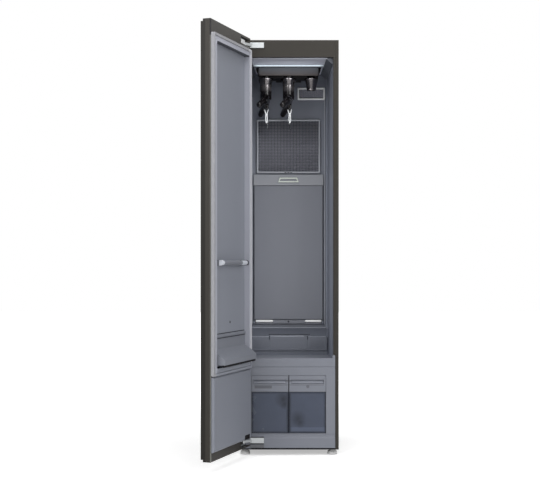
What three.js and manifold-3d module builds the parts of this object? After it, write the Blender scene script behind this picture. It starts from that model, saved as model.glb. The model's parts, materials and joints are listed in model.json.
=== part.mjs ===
// A clothes care steam cabinet that stands on four feet, with its door held open.
// Millimetres, +Z up, the front faces -Y and the door hangs on the left.
// The origin is on the floor, under the middle of the whole object's box.

import * as THREE from 'three';
import { mergeVertices } from 'three/addons/utils/BufferGeometryUtils.js';
import Module from 'manifold-3d';

const wasm = await Module();
wasm.setup();

// Shared fits
const seat = 0.3; // gap between two pieces that touch
const overrun = 6; // how far a cut runs past the piece that it cuts
const weld = 0.001; // distance at which the corners of a solid are one

// Cabinet shell
const cabinetWidth = 445;
const cabinetHeight = 1850;
const cabinetDepth = 545;
const footHeight = 27;
const skin = 1.5; // folded sheet of the outer panels
const panelReturn = 15.5; // how far the side panels turn in at the front and the back
const headerHeight = 76;
const headerReturn = 30;
const stileWidth = 8.2; // the part of the stile that shows beside the panel return
const stileDepth = 18;
const stileSheet = 3.2;
const topFlange = 12;
const backPanelInset = 1;
const basePanSheet = 2;
const basePanFlange = 4.7;
const backVentCount = 7;
const backVentWidth = 34;
const backVentHeight = 6;
const backVentPitch = 50;
const backVentRowPitch = 16;
const backVentRows = 4;
const backVentBottom = 110;

// Feet
const footRadius = 22;
const footInset = 27;
const footFrontInset = 45;
const footSides = 16;
// Shares of the foot's radius and of its height, from the ground up
const footProfileShares = [
  [0.9, 0], [1, 0.07], [1, 0.34], [0.68, 0.46], [0.68, 0.7], [0.8, 0.76], [0.8, 1],
];

// Care chamber
const floorLevel = 420; // top of the chamber floor
const linerSheet = 3;
const chamberDepth = 440;
const chamberTaper = 12.5; // how much each side wall comes in from front to back
const ribHeight = 4;
const ribWidth = 9;
const ribFromBack = 34;
const ceilingDrop = 26; // height of the cove along each side of the ceiling
const ceilingCoveWidth = 30;

// Light bar
const lightMargin = 35.5; // from each end to the plane of the chamber's front edge
const lightDepth = 16;
const lightHeight = 8.4;
const lightFromFront = 172;

// Air manifold and nozzles
const manifoldMargin = 47.5;
const manifoldTaper = 14;
const manifoldHeight = 30;
const manifoldDepth = 96;
const manifoldFromFront = 202;
const manifoldNeckWidth = 236;
const manifoldUnderHeight = 15;
const manifoldUnderInset = 20;
const manifoldDuctWidth = 120;
const nozzleFromEnd = 45; // outer nozzles from the manifold's ends
const nozzleInset = 38; // nozzle axes behind the manifold's front
const nozzleRadius = 24.4;
const nozzleTipRadius = 19.5;
const nozzleBoreRadius = 16.5;
const nozzleLength = 70;
const nozzleRingDepth = 1.4;
const nozzleSides = 20;
const nozzleGrooveShares = [0.42, 0.5]; // top and bottom of the groove, down the nozzle
const nozzleLipShare = 0.97;

// Vent grille
const ventWidth = 133;
const ventHeight = 59;
const ventDepth = 6;
const ventBorder = 8;
const ventMargin = 21.5; // from its right edge to the plane of the chamber's front edge
const ventDrop = 144; // under the cabinet's top
const ventSlats = 4;
const ventSlatHeight = 2.4;

// Air filter cassette
const filterMargin = 44.5;
const filterHeight = 260;
const filterDepth = 12;
const filterBorder = 10;
const filterFootBorder = 17;
const filterDrop = 298; // under the cabinet's top
const filterColumns = 10;
const filterRows = 8;
const filterBar = 3;
const filterMeshDepth = 3;

// Care plate
const plateMargin = 37.5;
const plateDepth = 12;
const plateRise = 140; // over the chamber floor
const plateFilterGap = 8;
const plateHeaderHeight = 52; // the wider header at its top
const plateHeaderOver = 2.5;
const plateBack = 2; // space behind the plate
const plateCorner = 6;
const plateFootHeight = 24;
const plateStripLength = 86;
const plateStripHeight = 12;
const plateStripDepth = 2;
const plateKnobRadius = 4;
const platePinRadius = 4;
const platePinRise = 8; // pin axis over the plate's lower edge
const plateLugWidth = 8;
const plateLugRadius = 9;
const handleWidth = 98;
const handleTopWidth = 84;
const handleHeight = 22;
const handleDepth = 8;
const handleRim = 5;
const handleRise = 26; // middle of the handle over the header's lower edge

// Steam outlet and lint filter
const outletDepth = 110;
const outletRise = 22; // over the chamber floor
const outletFrontHeight = 66;
const outletSlope = 36; // from its front edge up to its back edge
const outletSide = 3;
const outletSlotCount = 5;
const outletSlotHeight = 4;
const outletSlotPitch = 9;
const outletSlotMargin = 14;
const outletSlotDepth = 8;
const lintWidth = 176;
const lintDepth = 22;
const lintRise = 4;
const lintGripWidth = 70;
const lintGripDepth = 10;

// Chamber floor
const lipHeight = 39;
const lipRise = 13.5; // front lip over the floor
const lipDepth = 12;
const lipPostRise = 14;
const lipPostWidth = 12;

// Machine front
const frontSheet = 3;
const frontFlange = 14;
const bayMargin = 40.7; // from the bay to the panel's ends
const bayRise = 72; // over the feet
const bayHead = 36.2; // under the panel's top
const kickGap = 2; // under the bay
const kickHeight = 18;
const kickDepth = 1.6;

// Tank bay and water tanks
const bayDepth = 185;
const bayWall = 3;
const bayDivider = 3;
const bayLeg = 22;
const tankSide = 0.8; // clearance at each side of a tank
const tankFront = 5;
const tankDepth = 172;
const tankWall = 2.5;
const tankHeadroom = 6;
const tankFillWidth = 90;
const tankFillDepth = 40;
const gripHeight = 73.2;
const gripFront = 2.5;
const gripDepth = 30;
const gripLidDepth = 104;
const gripRecessDrop = 21; // under the bay's top
const gripRecessHeight = 17;
const gripRecessDepth = 20;
const gripRecessSide = 9;

// Door
const doorOpenDegrees = 109.5;
const doorBottom = 49.5;
const doorGap = 17; // from the door frame's inner face to the cabinet's front
const doorFrameDepth = 34;
const doorGlassDepth = 10;
const doorGlassInset = 9; // glass edge under the frame's top and over its bottom
const doorGlassSide = 1.5;
const doorPivotInset = 22; // hinge axis from the door's hung edge
const doorPivotDepth = 25; // hinge axis behind the door frame's inner face
const doorBandTop = 55;
const doorBandBottom = 38;
const doorRail = 20;
const doorSideRail = 32;
const doorSeamDrop = 1.5; // seam under the liner, from the lip's lower edge
const doorSeam = 3;
const doorGasketWidth = 12;
const doorGasketGap = 0.5; // left between the closed gasket and the stiles
const doorGasketFree = 2; // gasket edge from the door's free edge
const borderRise = 13;
const borderFree = 24;
const borderHung = 9;
const borderEnd = 18;
const borderSheet = 2.5;
const recessDrop = 12; // liner floor under the frame's inner face
const lowerPanelRise = 12;
const lowerPanelFree = 6;
const lowerPanelEdge = 5;

// Drip flap on the door
const flapRise = 20; // over the chamber floor
const flapHeight = 122;
const flapReach = 57;
const flapSheet = 3;
const flapUpright = 63; // flat part against the liner, over the bend
const flapHem = 4; // roll along the top edge, out of the flat part
const flapHemHeight = 15;
const flapNose = 14;
const flapSide = 2;
const flapKneeShare = 0.26; // height of the flap's knee in its whole height

// Accessory rod on the door
const rodLevel = 859;
const rodRadius = 9.5;
const rodReach = 33.5;
const rodStart = 101; // first bracket from the door's hung edge
const rodEndInset = 62; // and from its free edge
const rodBracketWidth = 14;
const rodBracketHeight = 23;
const rodBracketRound = 9;

// Door hinges
const hingeHeight = 24;
const hingeUpperDrop = 24; // middle of the upper hinge under the door's top
const hingeLowerRise = 18.5; // middle of the lower hinge over the door's lower edge
const hingePlateLeft = 50; // from the cabinet's left edge
const hingePlateWidth = 62;
const hingePlateDepth = 6;
const hingeArmDepth = 9;
const hingeEyeRadius = 7;
const hingePinRadius = 3.5;
const hingeLeafSheet = 3;
const hingeLeafLength = 52;
const hingePocketStart = 26; // pocket in the door, from its hung edge
const hingePocketEnd = 112;
const hingePocketClear = 3;
const hingePocketExtra = 11; // pocket height past the arm, away from the door's end
const hingeFootDrop = 21; // thinner plate that reaches down under the lower hinge
const hingeFootDepth = 3;

// Air hangers
const hangerBackGap = 35; // from the end of the shoulders' span to the back wall
const hangerBend = 27; // how far the shoulders curve forward for a wearer
const hangerDrop = 48;
const hangerDropPower = 1.4;
const hangerCollarRadius = 34;
const hangerNeckRadius = 26;
const hangerNeckLength = 96;
const hangerCollarHeight = 9;
const hangerThroat = 26;
const hangerFit = 0.5;
const hangerMidThick = 21;
const hangerMidTall = 28;
const hangerTipThick = 13;
const hangerTipTall = 14;
const hangerSteps = 8;
const hangerSides = 10;
const hangerNeckSides = 20;
const hangerCapShares = [0.35, 0.75, 1]; // places of the rings that round each tip
const hangerCapEndShare = 0.2; // size of the last ring
const hangerTipRound = 12;
const hangerSlotWidth = 34;
const hangerSlotHeight = 4;
const hangerSlotDepth = 5;
const hangerSlotPlaceShare = 0.5;

// Clip bar and clips
const clipBarDrop = 60; // bar axis under the neck's lower end
const clipBarOffset = 4.5;
const clipBarRadius = 3;
const clipPost = 14;
const clipPostRound = 8;
const clipInset = 40; // middle of each clip from the end of the shoulders' span
const clipWidth = 24;
const clipSheet = 1.5;
const clipGap = 0.3;
const clipPivotDrop = 27;
const clipJawLength = 40;
const clipLeverHeight = 21;
const clipLeverSpread = 9;
const clipPinRadius = 1.6;
const clipEarSheet = 1.2;
const clipEarRadius = 4;
const clipPinFit = 0.4;
const clipLip = 2.5;

// Machine compartment
const compressorRadius = 62;
const compressorHeight = 170;
const compressorWallGap = 17.7;
const compressorBackGap = 41.5;
// Shares of the can's radius and of its height, from the foot up
const compressorProfileShares = [
  [0.86, 0], [1, 0.09], [1, 0.42], [1.03, 0.44], [1.03, 0.48], [1, 0.5], [1, 0.78], [0.86, 0.92],
  [0.5, 1],
];
const compressorPipeShares = [-0.35, 0.3]; // places of the pipes, in radii
const compressorPipeRootShare = 0.8;
const compressorFoot = 78;
const compressorFootSheet = 3;
const compressorFootRise = 12;
const compressorFootPadRadius = 9;
const compressorPipeRadius = 5;
const compressorPipeRise = 34;
const coilWallGap = 16.7;
const coilHeight = 106;
const coilDepth = 44;
const coilFins = 12;
const coilFinSheet = 1;
const coilTubeRadius = 5;
const coilTubes = 3;
const coilEndSheet = 2;
const coilBayGap = 8;
const coilBendOut = 12;
const blowerWallGap = 6;
const blowerBackGap = 73.2;
const blowerRise = 235; // hub over the feet
const wheelRadius = 66;
const wheelInnerRadius = 52;
const wheelWidth = 52;
const wheelBlades = 20;
const wheelBladeSheet = 1.6;
const wheelRingSheet = 2.5;
const wheelHubRadius = 9;
const wheelBladeLeanShare = 0.32; // lean of a blade, in blade pitches
const wheelSides = 32;
const voluteWall = 3;
const voluteWidth = 64;
const voluteStart = 74;
const voluteGrowth = 24;
const voluteSteps = 24;
const voluteInletRadius = 50;
const voluteOutletHeight = 26;
const voluteLegWidth = 16;
const motorRadius = 38;
const motorLength = 56;
const motorShaftRadius = 4;
const motorShaftFit = 0.4;
const motorRound = 6;
const boilerWidth = 130;
const boilerDepth = 84;
const boilerHeight = 96;
const boilerBayGap = 8;
const boilerPumpGap = 9;
const boilerCoilGap = 7;
const boilerRound = 10;
const steamPipeRadius = 7;
const steamPipeBend = 40;
const pumpRadius = 22;
const pumpLength = 74;
const pumpWallGap = 10.7;
const pumpBayGap = 8;
const pumpFootHeight = 8;

// Values that follow from the sizes above
const halfWidth = cabinetWidth / 2;
const shellInside = halfWidth - skin - seat;
const frontInside = halfWidth - panelReturn - seat;
const openingHalf = frontInside - stileWidth;
const headerBottom = cabinetHeight - headerHeight;
const ceilingLevel = headerBottom - seat;
const ceilingUnder = ceilingLevel - linerSheet;
const wallTop = ceilingUnder - seat;
const chamberBackHalf = openingHalf - chamberTaper;
const chamberRun = chamberDepth - seat - stileDepth - seat;
const lipTop = floorLevel + lipRise;
const lipBottom = lipTop - lipHeight;
const postTop = lipTop + lipPostRise;
const frontTop = lipBottom - seat;
const frontBottom = footHeight + basePanFlange + seat;
const panFloor = footHeight + basePanSheet;
const manifoldTop = ceilingUnder - seat;
const manifoldUnder = manifoldTop - lightHeight - seat - manifoldHeight;
const manifoldBottom = manifoldUnder - manifoldUnderHeight;
const backWallFace = chamberDepth - seat;
const lightWidth = 2 * (openingHalf - lightMargin);
const manifoldWidth = 2 * (openingHalf - manifoldMargin);
const nozzlePitch = manifoldWidth / 2 - nozzleFromEnd;
const nozzleFromFront = manifoldFromFront + nozzleInset;
const ventLeft = openingHalf - ventMargin - ventWidth;
const ventTop = cabinetHeight - ventDrop;
const filterWidth = 2 * (openingHalf - filterMargin);
const filterTop = cabinetHeight - filterDrop;
const filterBottom = filterTop - filterHeight;
const plateWidth = 2 * (openingHalf - plateMargin);
const plateBottom = floorLevel + plateRise;
const plateTop = filterBottom - plateFilterGap;
const plateShoulder = plateTop - plateHeaderHeight;
const outletBottom = floorLevel + outletRise;
const outletFront = outletBottom + outletFrontHeight;
const outletBack = outletFront + outletSlope;
const bayWidth = 2 * (frontInside - bayMargin);
const bayBottom = footHeight + bayRise;
const bayTop = frontTop - bayHead;
const bayBackFace = frontSheet + seat + bayDepth;
const kickHigh = bayBottom - kickGap;
const kickLow = kickHigh - kickHeight;
const gripRecessTop = bayTop - gripRecessDrop;
const gripRecessBottom = gripRecessTop - gripRecessHeight;
const doorSeamLevel = lipBottom - doorSeamDrop;
const flapBottom = floorLevel + flapRise;
const flapTop = flapBottom + flapHeight;
const rodEnd = cabinetWidth - rodEndInset;
const hingeUpperLevel = cabinetHeight - hingeUpperDrop;
const hingeLowerLevel = doorBottom + hingeLowerRise;

// Places in the machine compartment, each from the panel or the piece beside it
const backInside = cabinetDepth - skin;
const panelSeam = backInside - seat;
const compressorPlace = [
  -shellInside + compressorWallGap + compressorFoot,
  backInside - compressorBackGap - compressorRadius,
];
const pumpPlace = [
  -shellInside + pumpWallGap + pumpRadius,
  bayBackFace + pumpBayGap + pumpFootHeight + pumpLength / 2,
];
const boilerPlace = [
  pumpPlace[0] + pumpRadius + boilerPumpGap + boilerWidth / 2,
  bayBackFace + boilerBayGap + boilerDepth / 2,
];
const coilLeft = boilerPlace[0] + boilerWidth / 2 + boilerCoilGap;
const coilRight = shellInside - coilWallGap;
const coilWidth = coilRight - coilLeft - 2 * (coilBendOut + coilTubeRadius);
const coilPlace = [(coilLeft + coilRight) / 2, bayBackFace + coilBayGap];
const blowerPlace = [
  shellInside - blowerWallGap - voluteWall - voluteGrowth - voluteStart,
  backInside - blowerBackGap - motorLength - seat - voluteWidth,
  footHeight + blowerRise,
];

// Half width of the chamber at a distance from the cabinet's front
function chamberHalfAt(depth) {
  const share = (depth - stileDepth - seat) / chamberRun;
  return openingHalf - chamberTaper * share;
}

// Finishes
const finish = (color, roughness, metalness) => (
  new THREE.MeshStandardMaterial({ color, roughness, metalness })
);
const bronze = finish(0x4a4742, 0.45, 0.6);
const darkGlass = finish(0x3c3a37, 0.12, 0.2);
const greyPlastic = finish(0x787c87, 0.5, 0);
const linerPlastic = finish(0x656a75, 0.55, 0);
const borderPlastic = finish(0x9b9ca8, 0.55, 0);
const gasketRubber = finish(0x9c9da5, 0.8, 0);
const blackPlastic = finish(0x231e20, 0.3, 0);
const brownPlastic = finish(0x5a5250, 0.45, 0);
const lightDiffuser = finish(0xe6eaf4, 0.4, 0);
const paleHandle = finish(0xc9cfc6, 0.4, 0);
const filterPlastic = finish(0x8d919c, 0.5, 0);
const smokedPlastic = finish(0x4b515e, 0.15, 0);
const steel = finish(0xc9ccd0, 0.28, 1);
const galvanised = finish(0x9a9d9f, 0.4, 0.8);
const castBlack = finish(0x202124, 0.5, 0.4);
const aluminium = finish(0xb4b8bc, 0.4, 0.9);
const copper = finish(0xa8683f, 0.35, 0.9);
const whitePlastic = finish(0xd9dbdc, 0.5, 0);
const footPlastic = finish(0xc5c5c4, 0.5, 0);

// Solid from a closed geometry, with its corners merged and its faces pointing out
function solidOf(geometry) {
  const bare = geometry.clone();
  bare.deleteAttribute('normal');
  bare.deleteAttribute('uv');
  const merged = mergeVertices(bare, weld);
  const points = merged.attributes.position;
  const corners = Uint32Array.from(merged.index.array);
  const a = new THREE.Vector3();
  const b = new THREE.Vector3();
  const c = new THREE.Vector3();
  let volume = 0;
  for (let i = 0; i < corners.length; i += 3) {
    a.fromBufferAttribute(points, corners[i]);
    b.fromBufferAttribute(points, corners[i + 1]);
    c.fromBufferAttribute(points, corners[i + 2]);
    volume += a.dot(b.cross(c));
  }
  if (volume < 0) {
    corners.reverse();
  }
  return new wasm.Manifold(new wasm.Mesh({
    numProp: 3,
    vertProperties: Float32Array.from(points.array),
    triVerts: corners,
  }));
}

function geometryOf(solid) {
  const mesh = solid.getMesh();
  const geometry = new THREE.BufferGeometry();
  geometry.setAttribute('position', new THREE.BufferAttribute(mesh.vertProperties, mesh.numProp));
  geometry.setIndex(new THREE.BufferAttribute(mesh.triVerts, 1));
  geometry.computeVertexNormals();
  return geometry;
}

const join = (first, ...others) => others.reduce((sum, other) => sum.add(other), first);
const cut = (first, ...others) => others.reduce((rest, other) => rest.subtract(other), first);

// Box between two values on each axis
function block([x0, x1], [y0, y1], [z0, z1]) {
  const geometry = new THREE.BoxGeometry(x1 - x0, y1 - y0, z1 - z0);
  geometry.translate((x0 + x1) / 2, (y0 + y1) / 2, (z0 + z1) / 2);
  return solidOf(geometry);
}

function shapeOf(outline, holes) {
  const shape = new THREE.Shape(outline.map(([u, v]) => new THREE.Vector2(u, v)));
  shape.holes = holes.map((hole) => new THREE.Path(hole.map(([u, v]) => new THREE.Vector2(u, v))));
  return shape;
}

function extruded(outline, from, to, holes) {
  const geometry = new THREE.ExtrudeGeometry(shapeOf(outline, holes), {
    depth: to - from,
    bevelEnabled: false,
  });
  return geometry.translate(0, 0, from);
}

// Prism of an [x, y] outline that stands along Z
function upright(outline, from, to, holes = []) {
  return solidOf(extruded(outline, from, to, holes));
}

// Prism of a [y, z] outline that runs along X
function across(outline, from, to, holes = []) {
  const turn = new THREE.Matrix4().makeBasis(
    new THREE.Vector3(0, 1, 0),
    new THREE.Vector3(0, 0, 1),
    new THREE.Vector3(1, 0, 0),
  );
  return solidOf(extruded(outline, from, to, holes).applyMatrix4(turn));
}

// Prism of an [x, z] outline that runs along Y
function inward(outline, from, to, holes = []) {
  return solidOf(extruded(outline, -to, -from, holes).rotateX(Math.PI / 2));
}

// Solid turned round the Z axis from [radius, z] points
function turned(profile, sides, [x, y, z] = [0, 0, 0]) {
  const points = profile.map(([r, h]) => new THREE.Vector2(r, h));
  const geometry = new THREE.LatheGeometry(points, sides).rotateX(Math.PI / 2);
  return solidOf(geometry.translate(x, y, z));
}

// Round bar between two values on one axis, through a point on the other two
function rod(axis, radius, from, to, [u, v], sides = 16) {
  const geometry = new THREE.CylinderGeometry(radius, radius, to - from, sides);
  const middle = (from + to) / 2;
  if (axis === 'x') {
    geometry.rotateZ(Math.PI / 2).translate(middle, u, v);
  } else if (axis === 'y') {
    geometry.translate(u, middle, v);
  } else {
    geometry.rotateX(Math.PI / 2).translate(u, v, middle);
  }
  return solidOf(geometry);
}

// Rectangle with rounded corners, as outline points
function roundedOutline([u0, u1], [v0, v1], radius, steps = 3) {
  const centres = [[u1, v1], [u0, v1], [u0, v0], [u1, v0]];
  const inwards = [[-1, -1], [1, -1], [1, 1], [-1, 1]];
  return centres.flatMap(([u, v], corner) => (
    Array.from({ length: steps + 1 }, (_, step) => {
      const angle = (corner + step / steps) * Math.PI / 2;
      return [
        u + inwards[corner][0] * radius + Math.cos(angle) * radius,
        v + inwards[corner][1] * radius + Math.sin(angle) * radius,
      ];
    })
  ));
}

// Closed skin through rings that all have the same count of points
function lofted(rings) {
  const count = rings[0].length;
  const flat = rings[0].map(([, u, v]) => new THREE.Vector2(u, v));
  const cap = THREE.ShapeUtils.triangulateShape(flat, []);
  const last = (rings.length - 1) * count;
  const index = [];
  cap.forEach(([a, b, c]) => {
    index.push(a, c, b);
    index.push(last + a, last + b, last + c);
  });
  for (let ring = 0; ring < rings.length - 1; ring += 1) {
    for (let point = 0; point < count; point += 1) {
      const next = (point + 1) % count;
      const a = ring * count + point;
      const b = ring * count + next;
      index.push(a, b, b + count, a, b + count, a + count);
    }
  }
  const geometry = new THREE.BufferGeometry();
  const corners = rings.flat().map(([depth, u, v]) => [u, depth, v]).flat();
  geometry.setAttribute('position', new THREE.Float32BufferAttribute(corners, 3));
  geometry.setIndex(index);
  return solidOf(geometry);
}

const mirroredX = (outline) => outline.map(([x, y]) => [-x, y]).reverse();

function piece(parent, name, solid, material, [x, y, z] = [0, 0, 0]) {
  const mesh = new THREE.Mesh(geometryOf(solid), material);
  mesh.name = name;
  mesh.position.set(x, y, z);
  parent.add(mesh);
  return mesh;
}

const cabinet = new THREE.Group();
const assembly = new THREE.Group();
assembly.add(cabinet);

// Outer side panels: one folded sheet each, with a return at the front and the back
function sidePanelOutline() {
  const inner = halfWidth - panelReturn;
  return [
    [inner, 0],
    [halfWidth, 0],
    [halfWidth, panelSeam],
    [inner, panelSeam],
    [inner, panelSeam - skin],
    [halfWidth - skin, panelSeam - skin],
    [halfWidth - skin, skin],
    [inner, skin],
  ];
}
piece(
  cabinet,
  'side_panel_right',
  upright(sidePanelOutline(), footHeight, cabinetHeight),
  bronze,
);
piece(
  cabinet,
  'side_panel_left',
  upright(mirroredX(sidePanelOutline()), footHeight, cabinetHeight),
  bronze,
);

// Top panel: a sheet between the side panels with a flange turned down at each side
const topOutline = [
  [-shellInside, cabinetHeight - topFlange],
  [-shellInside + skin, cabinetHeight - topFlange],
  [-shellInside + skin, cabinetHeight - skin],
  [shellInside - skin, cabinetHeight - skin],
  [shellInside - skin, cabinetHeight - topFlange],
  [shellInside, cabinetHeight - topFlange],
  [shellInside, cabinetHeight],
  [-shellInside, cabinetHeight],
];
const betweenReturns = halfWidth - panelReturn - seat;
const beforeReturns = panelSeam - skin - seat;
piece(
  cabinet,
  'top_panel',
  join(
    inward(topOutline, headerReturn + seat, beforeReturns),
    block(
      [-betweenReturns, betweenReturns],
      [headerReturn + seat, panelSeam],
      [cabinetHeight - skin, cabinetHeight],
    ),
  ),
  bronze,
);

// Back panel: a sheet over the returns of the side panels, with rows of air slots behind the
// machine compartment
function backPanel() {
  const reach = halfWidth - backPanelInset;
  const plate = block(
    [-reach, reach],
    [backInside, cabinetDepth],
    [footHeight, cabinetHeight - backPanelInset],
  );
  const slots = [];
  for (let row = 0; row < backVentRows; row += 1) {
    for (let column = 0; column < backVentCount; column += 1) {
      const x = (column - (backVentCount - 1) / 2) * backVentPitch;
      const z = backVentBottom + row * backVentRowPitch;
      slots.push(block(
        [x - backVentWidth / 2, x + backVentWidth / 2],
        [backInside - overrun, cabinetDepth + overrun],
        [z, z + backVentHeight],
      ));
    }
  }
  return cut(plate, ...slots);
}
piece(cabinet, 'back_panel', backPanel(), galvanised);

// Header band over the chamber: a folded channel, with its top widened to the side panels
const headerOutline = [
  [0, headerBottom],
  [headerReturn, headerBottom],
  [headerReturn, headerBottom + skin],
  [skin, headerBottom + skin],
  [skin, cabinetHeight - skin],
  [headerReturn, cabinetHeight - skin],
  [headerReturn, cabinetHeight],
  [0, cabinetHeight],
];
piece(
  cabinet,
  'header_band',
  join(
    across(headerOutline, -frontInside, frontInside),
    block(
      [-shellInside, shellInside],
      [skin + seat, headerReturn],
      [cabinetHeight - skin, cabinetHeight],
    ),
  ),
  bronze,
);

// Stiles beside the chamber, each with a flange behind the side panel's return
function stileOutline() {
  const flangeBack = skin + seat + stileSheet;
  return [
    [openingHalf, 0],
    [frontInside, 0],
    [frontInside, skin + seat],
    [shellInside, skin + seat],
    [shellInside, flangeBack],
    [openingHalf + stileSheet, flangeBack],
    [openingHalf + stileSheet, stileDepth],
    [openingHalf, stileDepth],
  ];
}
piece(
  cabinet,
  'stile_right',
  upright(stileOutline(), postTop + seat, headerBottom - seat),
  bronze,
);
piece(
  cabinet,
  'stile_left',
  upright(mirroredX(stileOutline()), postTop + seat, headerBottom - seat),
  bronze,
);

// Base pan: a tray with a low flange at the front and the back
const panOutline = [
  [0, footHeight],
  [panelSeam, footHeight],
  [panelSeam, panFloor],
  [basePanSheet, panFloor],
  [basePanSheet, footHeight + basePanFlange],
  [0, footHeight + basePanFlange],
];
piece(
  cabinet,
  'base_pan',
  join(
    across(panOutline, -betweenReturns, betweenReturns),
    block([-shellInside, shellInside], [skin + seat, beforeReturns], [footHeight, panFloor]),
  ),
  castBlack,
);

// Feet
const footTop = footHeight - seat;
const footProfile = [
  [0, 0],
  ...footProfileShares.map(([r, h]) => [r * footRadius, h * footTop]),
  [0, footTop],
];
const footPlaces = {
  foot_front_left: [-halfWidth + footInset, footFrontInset],
  foot_front_right: [halfWidth - footInset, footFrontInset],
  foot_back_left: [-halfWidth + footInset, cabinetDepth - footFrontInset],
  foot_back_right: [halfWidth - footInset, cabinetDepth - footFrontInset],
};
Object.entries(footPlaces).forEach(([name, [x, y]]) => {
  piece(cabinet, name, turned(footProfile, footSides), footPlastic, [x, y, 0]);
});

// Chamber side walls: they come in towards the back. Each carries one upright rib, which stops
// under the ceiling's cove.
function wallOutline() {
  const start = stileDepth + seat;
  return [
    [openingHalf, start],
    [openingHalf + linerSheet, start],
    [chamberBackHalf + linerSheet, backWallFace],
    [chamberBackHalf, backWallFace],
  ];
}

function ribOutline() {
  const middle = backWallFace - ribFromBack;
  const half = chamberHalfAt(middle);
  return [
    [half + linerSheet / 2, middle - ribWidth / 2],
    [half + linerSheet / 2, middle + ribWidth / 2],
    [half - ribHeight, middle + ribWidth / 4],
    [half - ribHeight, middle - ribWidth / 4],
  ];
}

function chamberWall(side) {
  const outline = side(wallOutline());
  const rib = side(ribOutline());
  return join(
    upright(outline, floorLevel + seat, wallTop),
    upright(rib, floorLevel + seat, ceilingUnder - ceilingDrop - seat),
  );
}
piece(cabinet, 'chamber_wall_right', chamberWall((outline) => outline), linerPlastic);
piece(cabinet, 'chamber_wall_left', chamberWall(mirroredX), linerPlastic);

// Chamber ceiling: flat in the middle, with a cove down each side that follows the walls
function ceilingRing(depth, half) {
  const flat = half - ceilingCoveWidth;
  const drop = ceilingUnder - ceilingDrop;
  return [
    [half + linerSheet, ceilingLevel],
    [-half - linerSheet, ceilingLevel],
    [-half - linerSheet, ceilingUnder],
    [-half, ceilingUnder],
    [-half, drop],
    [-half + linerSheet, drop],
    [-flat - linerSheet, ceilingUnder - linerSheet],
    [-flat, ceilingUnder],
    [flat, ceilingUnder],
    [flat + linerSheet, ceilingUnder - linerSheet],
    [half - linerSheet, drop],
    [half, drop],
    [half, ceilingUnder],
    [half + linerSheet, ceilingUnder],
  ].map(([x, z]) => [depth, x, z]);
}
const ceilingStart = stileDepth + seat;
piece(
  cabinet,
  'chamber_ceiling',
  lofted([
    ceilingRing(ceilingStart, openingHalf - seat),
    ceilingRing(backWallFace, chamberBackHalf - seat),
  ]),
  borderPlastic,
);

// Chamber back wall, open behind the vent and the filter, with two lugs for the care plate
const ventRight = ventLeft + ventWidth;
const ventBottom = ventTop - ventHeight;
const plateFace = chamberDepth - plateBack - plateDepth;
const platePinY = chamberDepth - plateBack - plateDepth / 2;
const platePinZ = plateBottom + platePinRise;
const lugInner = plateWidth / 2 + seat;

function plateLug(side) {
  const x0 = side * lugInner;
  const x1 = side * (lugInner + plateLugWidth);
  const range = [Math.min(x0, x1), Math.max(x0, x1)];
  const ear = join(
    rod('x', plateLugRadius, range[0], range[1], [platePinY, platePinZ]),
    block(range, [platePinY, chamberDepth], [platePinZ - plateLugRadius, platePinZ + plateLugRadius]),
  );
  return cut(
    ear,
    rod('x', platePinRadius + seat, range[0] - overrun, range[1] + overrun, [platePinY, platePinZ]),
  );
}

function backWall() {
  const half = chamberBackHalf + linerSheet;
  const plate = block(
    [-half, half],
    [chamberDepth, chamberDepth + linerSheet],
    [floorLevel + seat, wallTop],
  );
  const through = [chamberDepth - overrun, chamberDepth + linerSheet + overrun];
  const hole = block(
    [ventLeft + ventBorder, ventRight - ventBorder],
    through,
    [ventBottom + ventBorder, ventTop - ventBorder],
  );
  const window = block(
    [-filterWidth / 2 + 2 * filterBorder, filterWidth / 2 - 2 * filterBorder],
    through,
    [filterBottom + 2 * filterBorder, filterTop - 2 * filterBorder],
  );
  return join(cut(plate, hole, window), plateLug(1), plateLug(-1));
}
piece(cabinet, 'chamber_back_wall', backWall(), linerPlastic);

// Light bar under the ceiling
const lightTop = ceilingUnder - seat;
piece(
  cabinet,
  'light_bar',
  across(
    roundedOutline(
      [lightFromFront, lightFromFront + lightDepth],
      [lightTop - lightHeight, lightTop],
      lightHeight / 4,
    ),
    -lightWidth / 2,
    lightWidth / 2,
  ),
  lightDiffuser,
);

// Air manifold: a tapered trunk on a neck, with a duct to the back wall
function manifold() {
  const front = manifoldFromFront;
  const back = front + manifoldDepth;
  const trunkTop = manifoldUnder + manifoldHeight;
  const half = manifoldWidth / 2;
  const lowHalf = half - manifoldTaper;
  const trunk = inward(
    [
      [-lowHalf, manifoldUnder],
      [lowHalf, manifoldUnder],
      [half, trunkTop],
      [-half, trunkTop],
    ],
    front,
    back,
  );
  const neck = block(
    [-manifoldNeckWidth / 2, manifoldNeckWidth / 2],
    [front + manifoldUnderInset, back],
    [trunkTop - seat, manifoldTop],
  );
  const under = block(
    [-lowHalf, lowHalf],
    [front + manifoldUnderInset, back],
    [manifoldBottom, manifoldUnder + seat],
  );
  const duct = block(
    [-manifoldDuctWidth / 2, manifoldDuctWidth / 2],
    [back - seat, backWallFace],
    [manifoldUnder, trunkTop],
  );
  const sockets = [-1, 0, 1].map((place) => rod(
    'z',
    nozzleRadius + seat,
    manifoldBottom - overrun,
    manifoldUnder,
    [place * nozzlePitch, nozzleFromFront],
    nozzleSides,
  ));
  return cut(join(trunk, neck, under, duct), ...sockets);
}
piece(cabinet, 'air_manifold', manifold(), brownPlastic);

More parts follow.
